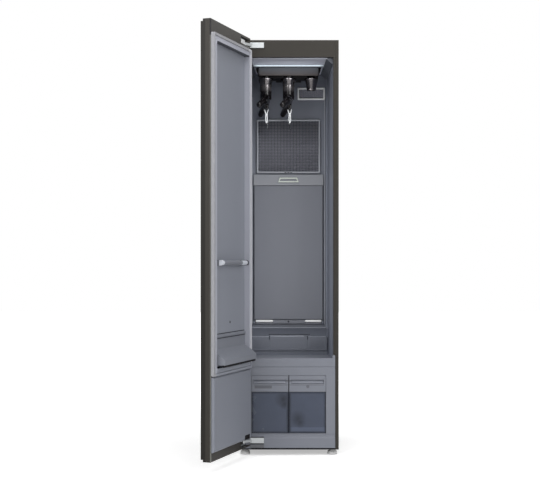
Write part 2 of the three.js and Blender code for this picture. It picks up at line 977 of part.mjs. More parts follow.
// Air nozzles: open tubes that narrow to the tip, with a ring groove
const nozzleTop = manifoldUnder - seat;
const [grooveHigh, grooveLow] = nozzleGrooveShares.map((share) => -share * nozzleLength);
const nozzleProfile = [
  [nozzleBoreRadius, 0],
  [nozzleBoreRadius, -nozzleLength],
  [nozzleTipRadius - nozzleRingDepth, -nozzleLength],
  [nozzleTipRadius, -nozzleLipShare * nozzleLength],
  [nozzleRadius - nozzleRingDepth, grooveLow],
  [nozzleRadius - 2 * nozzleRingDepth, grooveLow],
  [nozzleRadius - 2 * nozzleRingDepth, grooveHigh],
  [nozzleRadius, grooveHigh],
  [nozzleRadius, 0],
  [nozzleBoreRadius, 0],
];
const nozzlePlaces = { nozzle_left: -1, nozzle_middle: 0, nozzle_right: 1 };
Object.entries(nozzlePlaces).forEach(([name, place]) => {
  const at = [place * nozzlePitch, nozzleFromFront, nozzleTop];
  piece(cabinet, name, turned(nozzleProfile, nozzleSides), blackPlastic, at);
});

// Vent grille: a frame with slats
function ventGrille() {
  const front = backWallFace - ventDepth;
  const inside = [
    [ventLeft + ventBorder, ventBottom + ventBorder],
    [ventRight - ventBorder, ventBottom + ventBorder],
    [ventRight - ventBorder, ventTop - ventBorder],
    [ventLeft + ventBorder, ventTop - ventBorder],
  ];
  const frame = inward(
    roundedOutline([ventLeft, ventRight], [ventBottom, ventTop], ventBorder / 4),
    front,
    backWallFace,
    [inside],
  );
  const gap = (ventHeight - 2 * ventBorder) / (ventSlats + 1);
  const slats = Array.from({ length: ventSlats }, (_, i) => {
    const z = ventBottom + ventBorder + (i + 1) * gap;
    return block(
      [ventLeft + ventBorder / 2, ventRight - ventBorder / 2],
      [front + ventDepth / 3, backWallFace],
      [z - ventSlatHeight / 2, z + ventSlatHeight / 2],
    );
  });
  return join(frame, ...slats);
}
piece(cabinet, 'vent_grille', ventGrille(), filterPlastic);

// Air filter cassette: a frame round a net
function airFilter() {
  const front = backWallFace - filterDepth;
  const half = filterWidth / 2;
  const inner = half - filterBorder;
  const low = filterBottom + filterFootBorder;
  const high = filterTop - filterBorder;
  const frame = inward(
    roundedOutline([-half, half], [filterBottom, filterTop], filterBorder / 3),
    front,
    backWallFace,
    [[[-inner, low], [inner, low], [inner, high], [-inner, high]]],
  );
  const columnStep = 2 * inner / filterColumns;
  const rowStep = (high - low) / filterRows;
  const edge = filterBorder / 2;
  const netBack = front + filterDepth / 2 + filterMeshDepth / 2;
  const netRange = [netBack - filterMeshDepth, netBack];
  const uprights = Array.from({ length: filterColumns - 1 }, (_, i) => {
    const x = -inner + (i + 1) * columnStep;
    return block([x - filterBar / 2, x + filterBar / 2], netRange, [low - edge, high + edge]);
  });
  const rungs = Array.from({ length: filterRows - 1 }, (_, i) => {
    const z = low + (i + 1) * rowStep;
    return block([-inner - edge, inner + edge], netRange, [z - filterBar / 2, z + filterBar / 2]);
  });
  return join(frame, ...uprights, ...rungs);
}
piece(cabinet, 'air_filter', airFilter(), filterPlastic);

// Care plate: a smooth board with a wider header, a foot bar, two pale strips and two pins
function carePlate() {
  const half = plateWidth / 2;
  const back = chamberDepth - plateBack;
  const board = inward(
    roundedOutline([-half, half], [plateBottom, plateTop - plateCorner], plateCorner / 3),
    plateFace,
    back,
  );
  const header = inward(
    roundedOutline(
      [-half - plateHeaderOver, half + plateHeaderOver],
      [plateShoulder, plateTop],
      plateCorner,
    ),
    plateFace - plateHeaderOver,
    back,
  );
  const strips = [-1, 1].map((side) => {
    const outer = side * (half - plateStripDepth);
    const inner = side * (half - plateStripDepth - plateStripLength);
    return block(
      [Math.min(outer, inner), Math.max(outer, inner)],
      [plateFace - plateStripDepth, plateFace + seat],
      [plateBottom + plateFootHeight - plateStripHeight, plateBottom + plateFootHeight],
    );
  });
  const pins = rod(
    'x',
    platePinRadius,
    -half - plateLugWidth,
    half + plateLugWidth,
    [platePinY, platePinZ],
  );
  const knob = rod(
    'y',
    plateKnobRadius,
    plateFace - plateStripDepth,
    plateFace + seat,
    [0, plateBottom + plateFootHeight / 2],
    16,
  );
  return join(board, header, ...strips, pins, knob);
}
piece(cabinet, 'care_plate', carePlate(), greyPlastic);

// Pull handle on the care plate: a ring that is wider at its foot
function ringHandle() {
  const z = plateShoulder + handleRise;
  const trapezoid = (inset) => {
    const low = z - handleHeight / 2 + inset;
    const high = z + handleHeight / 2 - inset;
    const lowHalf = handleWidth / 2 - inset;
    const highHalf = handleTopWidth / 2 - inset;
    return [[-lowHalf, low], [lowHalf, low], [highHalf, high], [-highHalf, high]];
  };
  const front = plateFace - plateHeaderOver - seat - handleDepth;
  const back = plateFace - plateHeaderOver - seat;
  return inward(trapezoid(0), front, back, [trapezoid(handleRim)]);
}
piece(cabinet, 'care_plate_handle', ringHandle(), paleHandle);

// Steam outlet over the chamber floor, with slots at both sides and a bay for the lint filter
const outletFace = chamberDepth - outletDepth;
function steamOutlet() {
  const half = chamberHalfAt(outletFace) - ribHeight - outletSide;
  const body = across(
    [
      [outletFace, outletBottom],
      [backWallFace, outletBottom],
      [backWallFace, outletBack],
      [outletFace + outletSide, outletFront],
      [outletFace, outletFront - outletSide],
    ],
    -half,
    half,
  );
  const bay = block(
    [-lintWidth / 2 - seat, lintWidth / 2 + seat],
    [outletFace - overrun, outletFace + lintDepth + seat],
    [outletBottom + lintRise, outletBack],
  );
  const slots = [];
  const slotMiddle = (half + lintWidth / 2) / 2;
  const slotWidth = half - lintWidth / 2 - 2 * outletSlotMargin;
  [-1, 1].forEach((side) => {
    for (let i = 0; i < outletSlotCount; i += 1) {
      const z = outletBottom + 2 * outletSlotHeight + i * outletSlotPitch;
      slots.push(block(
        [side * slotMiddle - slotWidth / 2, side * slotMiddle + slotWidth / 2],
        [outletFace - overrun, outletFace + outletSlotDepth],
        [z, z + outletSlotHeight],
      ));
    }
  });
  return cut(body, bay, ...slots);
}
piece(cabinet, 'steam_outlet', steamOutlet(), linerPlastic);

// Lint filter: a cassette that lifts out of the outlet, with a grip along its top
function lintFilter() {
  const half = lintWidth / 2;
  const top = outletFront + lintRise;
  const body = block(
    [-half, half],
    [outletFace, outletFace + lintDepth],
    [outletBottom + lintRise + seat, top],
  );
  const grip = block(
    [-lintGripWidth / 2, lintGripWidth / 2],
    [outletFace + lintGripDepth / 2, outletFace + lintGripDepth + lintGripDepth / 2],
    [top - lintGripDepth, top + overrun],
  );
  const panel = block(
    [-half + lintGripDepth, half - lintGripDepth],
    [outletFace - overrun, outletFace + seat],
    [outletBottom + lintRise + lintGripDepth, top - 2 * lintGripDepth],
  );
  return cut(body, grip, panel);
}
piece(cabinet, 'lint_filter', lintFilter(), linerPlastic);

// Chamber floor with its front lip and the two posts that meet the stiles
function floorTray() {
  const half = openingHalf + linerSheet;
  const sheet = block(
    [-half, half],
    [lipDepth - seat, chamberDepth + linerSheet],
    [floorLevel - linerSheet, floorLevel],
  );
  const lipOutline = roundedOutline([0, lipDepth], [lipBottom, lipTop], lipDepth / 4);
  const lip = across(lipOutline, -frontInside, frontInside);
  const posts = [-1, 1].map((side) => {
    const outer = side * frontInside;
    const inner = side * (frontInside - lipPostWidth);
    const range = [Math.min(outer, inner), Math.max(outer, inner)];
    return inward(
      roundedOutline(range, [lipBottom, postTop], lipPostWidth / 3),
      0,
      lipDepth,
    );
  });
  return join(sheet, lip, ...posts);
}
piece(cabinet, 'floor_tray', floorTray(), greyPlastic);

// Machine front: a moulded panel round the tank bay, with a shallow band over the kick
function machineFront() {
  const bandSlope = kickDepth;
  const outline = [
    [0, frontBottom],
    [frontFlange, frontBottom],
    [frontFlange, frontBottom + frontSheet],
    [frontSheet, frontBottom + frontSheet],
    [frontSheet, frontTop - frontSheet],
    [frontFlange, frontTop - frontSheet],
    [frontFlange, frontTop],
    [0, frontTop],
    [0, kickHigh],
    [kickDepth, kickHigh - bandSlope],
    [kickDepth, kickLow + bandSlope],
    [0, kickLow],
  ];
  const opening = block(
    [-bayWidth / 2, bayWidth / 2],
    [-overrun, frontSheet + overrun],
    [bayBottom, bayTop],
  );
  return cut(across(outline, -frontInside, frontInside), opening);
}
piece(cabinet, 'machine_front', machineFront(), greyPlastic);

// Tank bay: an open box with a divider, on two legs
function tankBay() {
  const half = bayWidth / 2;
  const front = frontSheet + seat;
  const shell = block(
    [-half - bayWall, half + bayWall],
    [front, front + bayDepth],
    [bayBottom - bayWall, bayTop + bayWall],
  );
  const rooms = [-1, 1].map((side) => {
    const near = side * bayDivider / 2;
    const far = side * half;
    return block(
      [Math.min(near, far), Math.max(near, far)],
      [front - overrun, front + bayDepth - bayWall],
      [bayBottom, bayTop],
    );
  });
  const legs = [-1, 1].map((side) => {
    const middle = side * (half - bayLeg);
    return block(
      [middle - bayLeg / 2, middle + bayLeg / 2],
      [front + bayDepth - 2 * bayLeg, front + bayDepth - bayLeg],
      [panFloor + seat, bayBottom - seat],
    );
  });
  return join(cut(shell, ...rooms), ...legs);
}
piece(cabinet, 'tank_bay', tankBay(), linerPlastic);

// Water tanks: each a smoked tank, open at the back of its top, with a grip head in front
const tankBottom = bayBottom + seat;
const gripBottom = bayTop - tankSide - gripHeight;
const tankTop = bayTop - tankHeadroom;
const tankNear = bayDivider / 2 + tankSide;
const tankFar = bayWidth / 2 - tankSide;
const gripBack = gripFront + gripDepth;

function tankBody() {
  const stepBack = gripBack + seat;
  const back = tankFront + tankDepth;
  const outer = across(
    [
      [tankFront, tankBottom],
      [back, tankBottom],
      [back, tankTop],
      [stepBack, tankTop],
      [stepBack, gripBottom - seat],
      [tankFront, gripBottom - seat],
    ],
    tankNear,
    tankFar,
  );
  const inner = across(
    [
      [tankFront + tankWall, tankBottom + tankWall],
      [back - tankWall, tankBottom + tankWall],
      [back - tankWall, tankTop - tankWall],
      [stepBack + tankWall, tankTop - tankWall],
      [stepBack + tankWall, gripBottom - seat - tankWall],
      [tankFront + tankWall, gripBottom - seat - tankWall],
    ],
    tankNear + tankWall,
    tankFar - tankWall,
  );
  const middle = (tankNear + tankFar) / 2;
  const fill = block(
    [middle - tankFillWidth / 2, middle + tankFillWidth / 2],
    [back - 2 * tankWall - tankFillDepth, back - 2 * tankWall],
    [tankTop - 2 * tankWall, tankTop + overrun],
  );
  return cut(outer, inner, fill);
}

function tankGrip() {
  const lid = tankTop + seat;
  const top = gripBottom + gripHeight;
  const head = across(
    [
      [gripFront, gripBottom],
      [gripBack, gripBottom],
      [gripBack, lid],
      [gripFront + gripLidDepth, lid],
      [gripFront + gripLidDepth, top],
      [gripFront, top],
    ],
    tankNear,
    tankFar,
  );
  const recess = block(
    [tankNear + gripRecessSide, tankFar - gripRecessSide],
    [gripFront - overrun, gripFront + gripRecessDepth],
    [gripRecessBottom, gripRecessTop],
  );
  return cut(head, recess);
}

const drainTank = new THREE.Group();
cabinet.add(drainTank);
piece(drainTank, 'drain_tank', tankBody(), smokedPlastic);
piece(drainTank, 'drain_tank_grip', tankGrip(), greyPlastic);

const freshTank = new THREE.Group();
freshTank.position.x = -tankNear - tankFar;
cabinet.add(freshTank);
piece(freshTank, 'fresh_tank', tankBody(), smokedPlastic);
piece(freshTank, 'fresh_tank_grip', tankGrip(), greyPlastic);

// Compressor: a domed can on a foot plate with four pads and two pipe stubs
function compressor() {
  const low = panFloor + seat + compressorFootRise;
  const r = compressorRadius;
  const h = compressorHeight;
  const can = turned(
    [
      [0, low],
      ...compressorProfileShares.map(([radius, height]) => [radius * r, low + height * h]),
      [0, low + h],
    ],
    20,
  );
  const foot = upright(
    roundedOutline([-compressorFoot, compressorFoot], [-r, r], 2 * compressorFootPadRadius),
    low - compressorFootSheet,
    low + compressorFootSheet,
  );
  const pads = [[-1, -1], [1, -1], [-1, 1], [1, 1]].map(([i, j]) => rod(
    'z',
    compressorFootPadRadius,
    panFloor + seat,
    low,
    [i * (compressorFoot - 2 * compressorFootPadRadius), j * (r - 2 * compressorFootPadRadius)],
    10,
  ));
  const pipes = compressorPipeShares.map((share) => rod(
    'z',
    compressorPipeRadius,
    low + compressorPipeRootShare * h,
    low + h + compressorPipeRise,
    [share * r, 0],
    10,
  ));
  return join(can, foot, ...pads, ...pipes);
}
piece(cabinet, 'compressor', compressor(), castBlack, [...compressorPlace, 0]);

// Heat exchanger: fins on tubes, between two end plates, with bends that join the tubes
function heatExchanger() {
  const low = panFloor + seat;
  const half = coilWidth / 2;
  const sides = [0, coilDepth];
  const fins = Array.from({ length: coilFins }, (_, i) => {
    const x = -half + (i + 1) * coilWidth / (coilFins + 1);
    return block([x - coilFinSheet / 2, x + coilFinSheet / 2], sides, [low + overrun, low + coilHeight]);
  });
  const ends = [-half, half - coilEndSheet].map((x) => (
    block([x, x + coilEndSheet], sides, [low, low + coilHeight])
  ));
  const level = (i) => low + (i + 0.5) * coilHeight / coilTubes;
  const tubes = Array.from({ length: coilTubes }, (_, i) => (
    rod('x', coilTubeRadius, -half - coilBendOut, half + coilBendOut, [coilDepth / 2, level(i)], 6)
  ));
  const bends = Array.from({ length: coilTubes - 1 }, (_, i) => {
    const x = i % 2 === 0 ? half + coilBendOut : -half - coilBendOut;
    return block(
      [x - coilTubeRadius, x + coilTubeRadius],
      [coilDepth / 2 - coilTubeRadius, coilDepth / 2 + coilTubeRadius],
      [level(i) - coilTubeRadius, level(i + 1) + coilTubeRadius],
    );
  });
  return join(ends[0], ends[1], ...tubes, ...bends, ...fins);
}
piece(cabinet, 'heat_exchanger', heatExchanger(), aluminium, [...coilPlace, 0]);

// Blower: a drum wheel in a snail housing on two legs, driven by the motor behind it
const [blowerX, blowerY, blowerZ] = blowerPlace;
const blowerHub = [blowerX, blowerY, blowerZ];

function voluteOutline(offset) {
  const points = Array.from({ length: voluteSteps + 1 }, (_, i) => {
    const angle = (i / voluteSteps) * 1.5 * Math.PI;
    const radius = voluteStart + voluteGrowth * (i / voluteSteps) + offset;
    return [radius * Math.cos(angle), radius * Math.sin(angle)];
  });
  return points.map(([x, z]) => [-x, -z]);
}

function blowerHousing() {
  const end = voluteStart + voluteGrowth;
  const outletTop = end + voluteOutletHeight;
  const wallOut = voluteWall;
  const outer = inward(
    [
      ...voluteOutline(wallOut),
      [0, outletTop],
      [-voluteStart - wallOut, outletTop],
    ],
    0,
    voluteWidth,
  );
  const inner = inward(
    [
      ...voluteOutline(0),
      [-wallOut, outletTop + overrun],
      [-voluteStart, outletTop + overrun],
    ],
    voluteWall,
    voluteWidth - voluteWall,
  );
  const inlet = rod('y', voluteInletRadius, -overrun, voluteWall + overrun, [0, 0], wheelSides);
  const shaft = rod(
    'y',
    motorShaftRadius + 2 * motorShaftFit,
    voluteWidth - voluteWall - overrun,
    voluteWidth + overrun,
    [0, 0],
    16,
  );
  const legBottom = panFloor + seat - blowerZ;
  const legs = [-1, 1].map((side) => {
    const x = side * (voluteStart - voluteLegWidth);
    return block(
      [x - voluteLegWidth / 2, x + voluteLegWidth / 2],
      [voluteWidth - voluteWall, voluteWidth],
      [legBottom, 0],
    );
  });
  return join(cut(outer, inner, inlet, shaft), ...legs);
}
piece(cabinet, 'blower_housing', blowerHousing(), blackPlastic, blowerHub);

const wheelGap = (voluteWidth - wheelWidth) / 2;

function blowerWheel() {
  const back = wheelGap + wheelWidth;
  const disc = cut(
    join(
      rod('y', wheelRadius, back - wheelRingSheet, back, [0, 0], wheelSides),
      rod('y', wheelHubRadius, back - wheelWidth / 2, back, [0, 0], 24),
    ),
    rod('y', motorShaftRadius + seat, wheelGap, back + overrun, [0, 0], 16),
  );
  const ring = cut(
    rod('y', wheelRadius, wheelGap, wheelGap + wheelRingSheet, [0, 0], wheelSides),
    rod('y', wheelInnerRadius, wheelGap - overrun, wheelGap + overrun, [0, 0], wheelSides),
  );
  const step = 2 * Math.PI / wheelBlades;
  const lean = wheelBladeLeanShare * step;
  const blades = Array.from({ length: wheelBlades }, (_, i) => {
    const angle = i * step;
    const outerR = wheelRadius - seat;
    const innerR = wheelInnerRadius + seat;
    const half = wheelBladeSheet / 2;
    const a = [Math.cos(angle), Math.sin(angle)];
    const b = [Math.cos(angle + lean), Math.sin(angle + lean)];
    return inward(
      [
        [innerR * a[0] + half * a[1], innerR * a[1] - half * a[0]],
        [outerR * b[0] + half * b[1], outerR * b[1] - half * b[0]],
        [outerR * b[0] - half * b[1], outerR * b[1] + half * b[0]],
        [innerR * a[0] - half * a[1], innerR * a[1] + half * a[0]],
      ],
      wheelGap + seat,
      back - seat,
    );
  });
  return join(disc, ring, ...blades);
}
piece(cabinet, 'blower_wheel', blowerWheel(), greyPlastic, blowerHub);

function blowerMotor() {
  const start = voluteWidth + seat;
  const body = turned(
    [
      [0, 0],
      [motorRadius, 0],
      [motorRadius, motorLength - motorRound],
      [motorRadius - motorRound, motorLength],
      [0, motorLength],
    ],
    20,
  );
  const shaft = rod('z', motorShaftRadius, -voluteWidth / 2, seat, [0, 0], 14);
  const turn = new THREE.Matrix4().makeRotationX(-Math.PI / 2).setPosition(0, start, 0);
  return solidOf(geometryOf(join(body, shaft)).applyMatrix4(turn));
}
piece(cabinet, 'blower_motor', blowerMotor(), galvanised, blowerHub);

// Steam generator: a lagged boiler with the pipe that rises under the chamber floor
function steamGenerator() {
  const low = panFloor + seat;
  const high = low + boilerHeight;
  const boiler = upright(
    roundedOutline([-boilerWidth / 2, boilerWidth / 2], [-boilerDepth / 2, boilerDepth / 2], boilerRound),
    low,
    high,
  );
  const under = floorLevel - linerSheet - seat;
  const elbow = under - 2 * steamPipeBend;
  const path = new THREE.CatmullRomCurve3([
    new THREE.Vector3(0, 0, high - overrun),
    new THREE.Vector3(0, 0, elbow - steamPipeBend),
    new THREE.Vector3(steamPipeBend / 2, 0, elbow),
    new THREE.Vector3(steamPipeBend, 0, elbow + steamPipeBend),
    new THREE.Vector3(steamPipeBend, 0, under),
  ]);
  const section = new THREE.Shape().absarc(0, 0, steamPipeRadius, 0, 2 * Math.PI);
  const pipe = solidOf(new THREE.ExtrudeGeometry(section, {
    steps: 14,
    curveSegments: 4,
    bevelEnabled: false,
    extrudePath: path,
  }));
  return join(boiler, cut(
    pipe,
    block(
      [-boilerWidth, boilerWidth],
      [-boilerDepth, boilerDepth],
      [under, under + 2 * overrun],
    ),
  ));
}
piece(cabinet, 'steam_generator', steamGenerator(), copper, [...boilerPlace, 0]);

// Water pump: a small can on a foot
function waterPump() {
  const low = panFloor + seat;
  const axis = low + pumpFootHeight + pumpRadius;
  const can = rod('y', pumpRadius, -pumpLength / 2, pumpLength / 2, [0, axis], 24);
  const nose = rod('y', pumpRadius / 2, -pumpLength / 2 - pumpFootHeight, 0, [0, axis], 16);
  const foot = block(
    [-pumpRadius / 2, pumpRadius / 2],
    [-pumpLength / 3, pumpLength / 3],
    [low, axis],
  );
  return join(can, nose, foot);
}
piece(cabinet, 'water_pump', waterPump(), whitePlastic, [...pumpPlace, 0]);

// Door. Its group turns about the hinge axis, and its pieces are drawn as the door hangs closed:
// s runs from the hung edge to the free edge, and h from the frame's inner face to the chamber.
const pivotX = -halfWidth + doorPivotInset;
const pivotY = -doorGap - doorPivotDepth;
const door = new THREE.Group();
door.position.set(pivotX, pivotY, 0);
door.rotation.z = -THREE.MathUtils.degToRad(doorOpenDegrees);
cabinet.add(door);

const alongS = (s) => s - doorPivotInset;
const outH = (h) => h + doorPivotDepth;
const doorTop = cabinetHeight;
const gasketRise = doorGap - doorGasketGap;
const gasketHung = doorPivotInset;
const gasketFree = cabinetWidth - doorGasketFree;
const gasketTop = doorTop - doorBandTop;
const gasketBottom = doorSeamLevel + doorSeam;
const panelTop = doorSeamLevel;
const panelBottom = doorBottom + doorBandBottom;

function doorBlock([s0, s1], [h0, h1], [z0, z1]) {
  return block([alongS(s0), alongS(s1)], [outH(h0), outH(h1)], [z0, z1]);
}

// Room round each hinge: a slot for the sweep of the arm and the pocket that shows beside it
function hingeRoom(level, towards) {
  const half = hingeHeight / 2 + hingePocketClear;
  const reach = doorPivotDepth + hingeEyeRadius + hingePocketClear;
  const low = level - half;
  const high = towards > 0 ? level + half + hingePocketExtra : level + half;
  const floor = Math.min(reach, doorFrameDepth - skin);
  return [
    doorBlock([-overrun, hingePocketEnd], [-floor, overrun], [level - half, level + half]),
    doorBlock([hingePocketStart, hingePocketEnd], [-floor, overrun], [low, high]),
  ];
}

// Door frame: a deep ring with a rail between the two windows behind the liner and the panel
function doorFrame() {
  const slab = doorBlock([0, cabinetWidth], [-doorFrameDepth, 0], [doorBottom, doorTop]);
  const upper = doorBlock(
    [doorSideRail, cabinetWidth - doorSideRail],
    [-doorFrameDepth - overrun, overrun],
    [gasketBottom + doorRail, gasketTop - doorRail],
  );
  const lower = doorBlock(
    [doorSideRail, cabinetWidth - doorSideRail],
    [-doorFrameDepth - overrun, overrun],
    [panelBottom + doorRail + hingePocketExtra, panelTop - doorRail],
  );
  return cut(
    slab,
    upper,
    lower,
    ...hingeRoom(hingeUpperLevel, 0),
    ...hingeRoom(hingeLowerLevel, 1),
  );
}
piece(door, 'door_frame', doorFrame(), bronze);

// Outer glass panel of the door
piece(
  door,
  'door_glass',
  inward(
    roundedOutline(
      [alongS(doorGlassSide), alongS(cabinetWidth - doorGlassSide)],
      [doorBottom + doorGlassInset, doorTop - doorGlassInset],
      doorGlassSide,
    ),
    outH(-doorFrameDepth - seat - doorGlassDepth),
    outH(-doorFrameDepth - seat),
  ),
  darkGlass,
);

// Liner: one moulded sheet with a raised border and a sunk floor
const linerHung = gasketHung + doorGasketWidth + seat;
const linerFree = gasketFree - doorGasketWidth - seat;
const linerTop = gasketTop - doorGasketWidth - seat;
const linerBottom = gasketBottom + doorGasketWidth + seat;
const recessHung = linerHung + borderHung;
const recessFree = linerFree - borderFree;
const recessTop = linerTop - borderEnd;
const recessBottom = linerBottom + borderEnd;

function doorLiner() {
  const outer = doorBlock([linerHung, linerFree], [seat, borderRise], [linerBottom, linerTop]);
  const bowl = doorBlock(
    [recessHung - borderSheet, recessFree + borderSheet],
    [-recessDrop - borderSheet, seat + overrun / 2],
    [recessBottom - borderSheet, recessTop + borderSheet],
  );
  const under = doorBlock(
    [linerHung + borderSheet, linerFree - borderSheet],
    [-overrun, borderRise - borderSheet],
    [linerBottom + borderSheet, linerTop - borderSheet],
  );
  const kept = doorBlock(
    [recessHung - borderSheet, recessFree + borderSheet],
    [-overrun, borderRise],
    [recessBottom - borderSheet, recessTop + borderSheet],
  );
  const recess = inward(
    roundedOutline(
      [alongS(recessHung), alongS(recessFree)],
      [recessBottom, recessTop],
      borderHung,
    ),
    outH(-recessDrop),
    outH(borderRise + overrun),
  );
  return cut(join(cut(outer, cut(under, kept)), bowl), recess);
}
piece(door, 'door_liner', doorLiner(), borderPlastic);

// Gasket round the liner
piece(
  door,
  'door_gasket',
  inward(
    roundedOutline(
      [alongS(gasketHung), alongS(gasketFree)],
      [gasketBottom, gasketTop],
      doorGasketWidth / 2,
    ),
    outH(seat),
    outH(gasketRise),
    [[
      [alongS(linerHung - seat), linerBottom - seat],
      [alongS(linerFree + seat), linerBottom - seat],
      [alongS(linerFree + seat), linerTop + seat],
      [alongS(linerHung - seat), linerTop + seat],
    ]],
  ),
  gasketRubber,
);

// Lower inner panel: flat, with a bevelled edge, and cut away beside the hinge
function lowerPanel() {
  const bevel = lowerPanelEdge;
  const s0 = gasketHung;
  const s1 = cabinetWidth - lowerPanelFree;
  const rim = (inset) => [
    [alongS(s0 + inset), panelBottom + inset],
    [alongS(s1 - inset), panelBottom + inset],
    [alongS(s1 - inset), panelTop - inset],
    [alongS(s0 + inset), panelTop - inset],
  ];
  const at = (h, inset) => rim(inset).map(([x, z]) => [outH(h), x, z]);
  const panel = lofted([
    at(seat, 0),
    at(lowerPanelRise - bevel, 0),
    at(lowerPanelRise, bevel),
  ]);
  return cut(panel, ...hingeRoom(hingeLowerLevel, 1));
}
piece(door, 'door_lower_panel', lowerPanel(), greyPlastic);

// Drip flap: a sheet flat on the liner's floor, bent out over the chamber's lip
function dripFlap() {
  const root = outH(-recessDrop + seat);
  const tip = root + flapReach;
  const height = flapTop - flapBottom;
  const knee = flapBottom + flapKneeShare * height;
  const bend = flapTop - flapUpright;
  const hem = flapTop - flapHemHeight;
  const outline = [
    [root, flapTop],
    [root, bend - flapSheet],
    [root + flapSheet, bend - flapSheet],
    [tip - flapSheet - flapNose, knee],
    [tip - flapSheet, knee - flapNose],
    [tip - flapSheet, flapBottom],
    [tip, flapBottom],
    [tip, knee - flapNose + flapSheet],
    [tip - flapNose, knee + flapSheet],
    [root + flapSheet + flapSheet, bend],
    [root + flapSheet, bend + flapSheet],
    [root + flapSheet, hem],
    [root + flapSheet + flapHem, hem + flapHem],
    [root + flapSheet + flapHem, flapTop - flapHem],
    [root + flapSheet, flapTop],
  ];
  const cheek = [
    [root, bend],
    [root, flapBottom],
    [tip, flapBottom],
    [tip, knee - flapNose + flapSheet],
    [tip - flapNose, knee + flapSheet],
    [root + flapSheet + flapSheet, bend],
  ];
  const s0 = alongS(recessHung + flapSide);
  const s1 = alongS(recessFree - flapSide);
  return join(
    across(outline, s0, s1),
    across(cheek, s0, s0 + flapSheet),
    across(cheek, s1 - flapSheet, s1),
  );
}
piece(door, 'drip_flap', dripFlap(), greyPlastic);

// Accessory rod on two round-nosed brackets
function accessoryRod() {
  const root = outH(-recessDrop + seat);
  const axis = root + rodReach;
  const bar = rod('x', rodRadius, alongS(rodStart), alongS(rodEnd), [axis, rodLevel]);
  const brackets = [rodStart, rodEnd].map((s) => across(
    roundedOutline(
      [root, axis + rodBracketRound],
      [rodLevel - rodBracketHeight / 2, rodLevel + rodBracketHeight / 2],
      rodBracketRound,
    ),
    alongS(s) - rodBracketWidth / 2,
    alongS(s) + rodBracketWidth / 2,
  ));
  return join(bar, ...brackets);
}
piece(door, 'accessory_rod', accessoryRod(), steel);

// Hinge plates on the cabinet: a plate, an arm that reaches to the axis, and the pin
function hingePlate(level, drop) {
  const half = hingeHeight / 2;
  const left = -halfWidth + hingePlateLeft;
  const right = left + hingePlateWidth;
  const front = -seat - hingePlateDepth;
  const plate = block([left, right], [front, -seat], [level - half, level + half]);
  const foot = block(
    [left, right],
    [-seat - hingeFootDepth, -seat],
    [level - half - drop, level],
  );
  const inner = [pivotX, pivotY];
  const arm = upright(
    [
      [left + hingeArmDepth, -seat],
      [left, -seat],
      [left - hingeArmDepth, front],
      [inner[0] - hingeEyeRadius + hingePinRadius / 4, inner[1]],
      [inner[0] + hingeEyeRadius - hingePinRadius / 4, inner[1]],
      [left + hingeArmDepth, front],
    ],
    level - half / 2,
    level + half / 2,
  );
  const eye = rod('z', hingeEyeRadius, level - half / 2, level + half / 2, inner, 24);
  const pin = rod('z', hingePinRadius, level - half, level + half, inner, 20);
  return join(plate, foot, arm, eye, pin);
}
piece(cabinet, 'hinge_plate_upper', hingePlate(hingeUpperLevel, 0), steel);
piece(cabinet, 'hinge_plate_lower', hingePlate(hingeLowerLevel, hingeFootDrop), steel);

// Hinge leaves in the door: two cheeks round the pin, joined by a web in the pocket
function hingeLeaf(level) {
  const half = hingeHeight / 2;
  const floor = -doorFrameDepth + skin + seat;
  const cheeks = [-1, 1].map((side) => {
    const inside = level + side * (half / 2 + seat);
    const outside = level + side * half;
    const range = [Math.min(inside, outside), Math.max(inside, outside)];
    return cut(
      join(
        rod('z', hingeEyeRadius, range[0], range[1], [0, 0], 24),
        block(
          [0, hingeLeafLength],
          [outH(floor), hingeEyeRadius],
          range,
        ),
      ),
      rod('z', hingePinRadius + seat, range[0] - overrun, range[1] + overrun, [0, 0], 20),
    );
  });
  const web = block(
    [hingeLeafLength - hingeLeafSheet, hingeLeafLength],
    [outH(floor), hingeEyeRadius],
    [level - half, level + half],
  );
  return join(cheeks[0], cheeks[1], web);
}
piece(door, 'hinge_leaf_upper', hingeLeaf(hingeUpperLevel), steel);
piece(door, 'hinge_leaf_lower', hingeLeaf(hingeLowerLevel), steel);

// Air hanger: a neck that slips over a nozzle and two hollow shoulders that curve to one side
const hangerTop = manifoldBottom - seat;
const hangerSpan = chamberDepth - nozzleFromFront - hangerBackGap;
const clipReach = hangerSpan - clipInset;
const nozzleBelow = nozzleTop - nozzleLength - hangerTop;
const clipBarZ = -hangerNeckLength - clipBarDrop;
const clipPivotZ = clipBarZ - clipPivotDrop;

function shoulderRing(share, shrink) {
  const side = Math.abs(share);
  const thick = THREE.MathUtils.lerp(hangerMidThick, hangerTipThick, side) * shrink;
  const tall = THREE.MathUtils.lerp(hangerMidTall, hangerTipTall, side) * shrink;
  const x = -hangerBend * side * side;
  const z = -hangerNeckLength - hangerDrop * side ** hangerDropPower;
  return Array.from({ length: hangerSides }, (_, i) => {
    const angle = (i / hangerSides) * 2 * Math.PI;
    return [hangerSpan * share, x + thick * Math.cos(angle), z + tall * Math.sin(angle)];
  });
}

function shoulders() {
  const rings = Array.from({ length: 2 * hangerSteps + 1 }, (_, i) => (
    shoulderRing(i / hangerSteps - 1, 1)
  ));
  const cap = (sign) => hangerCapShares.map((share) => {
    const shrink = Math.sqrt(1 - share * share * (1 - hangerCapEndShare ** 2));
    return shoulderRing(sign, shrink).map(([y, x, z]) => (
      [y + sign * share * hangerTipRound, x, z]
    ));
  });
  return lofted([...cap(-1).reverse(), ...rings, ...cap(1)]);
}

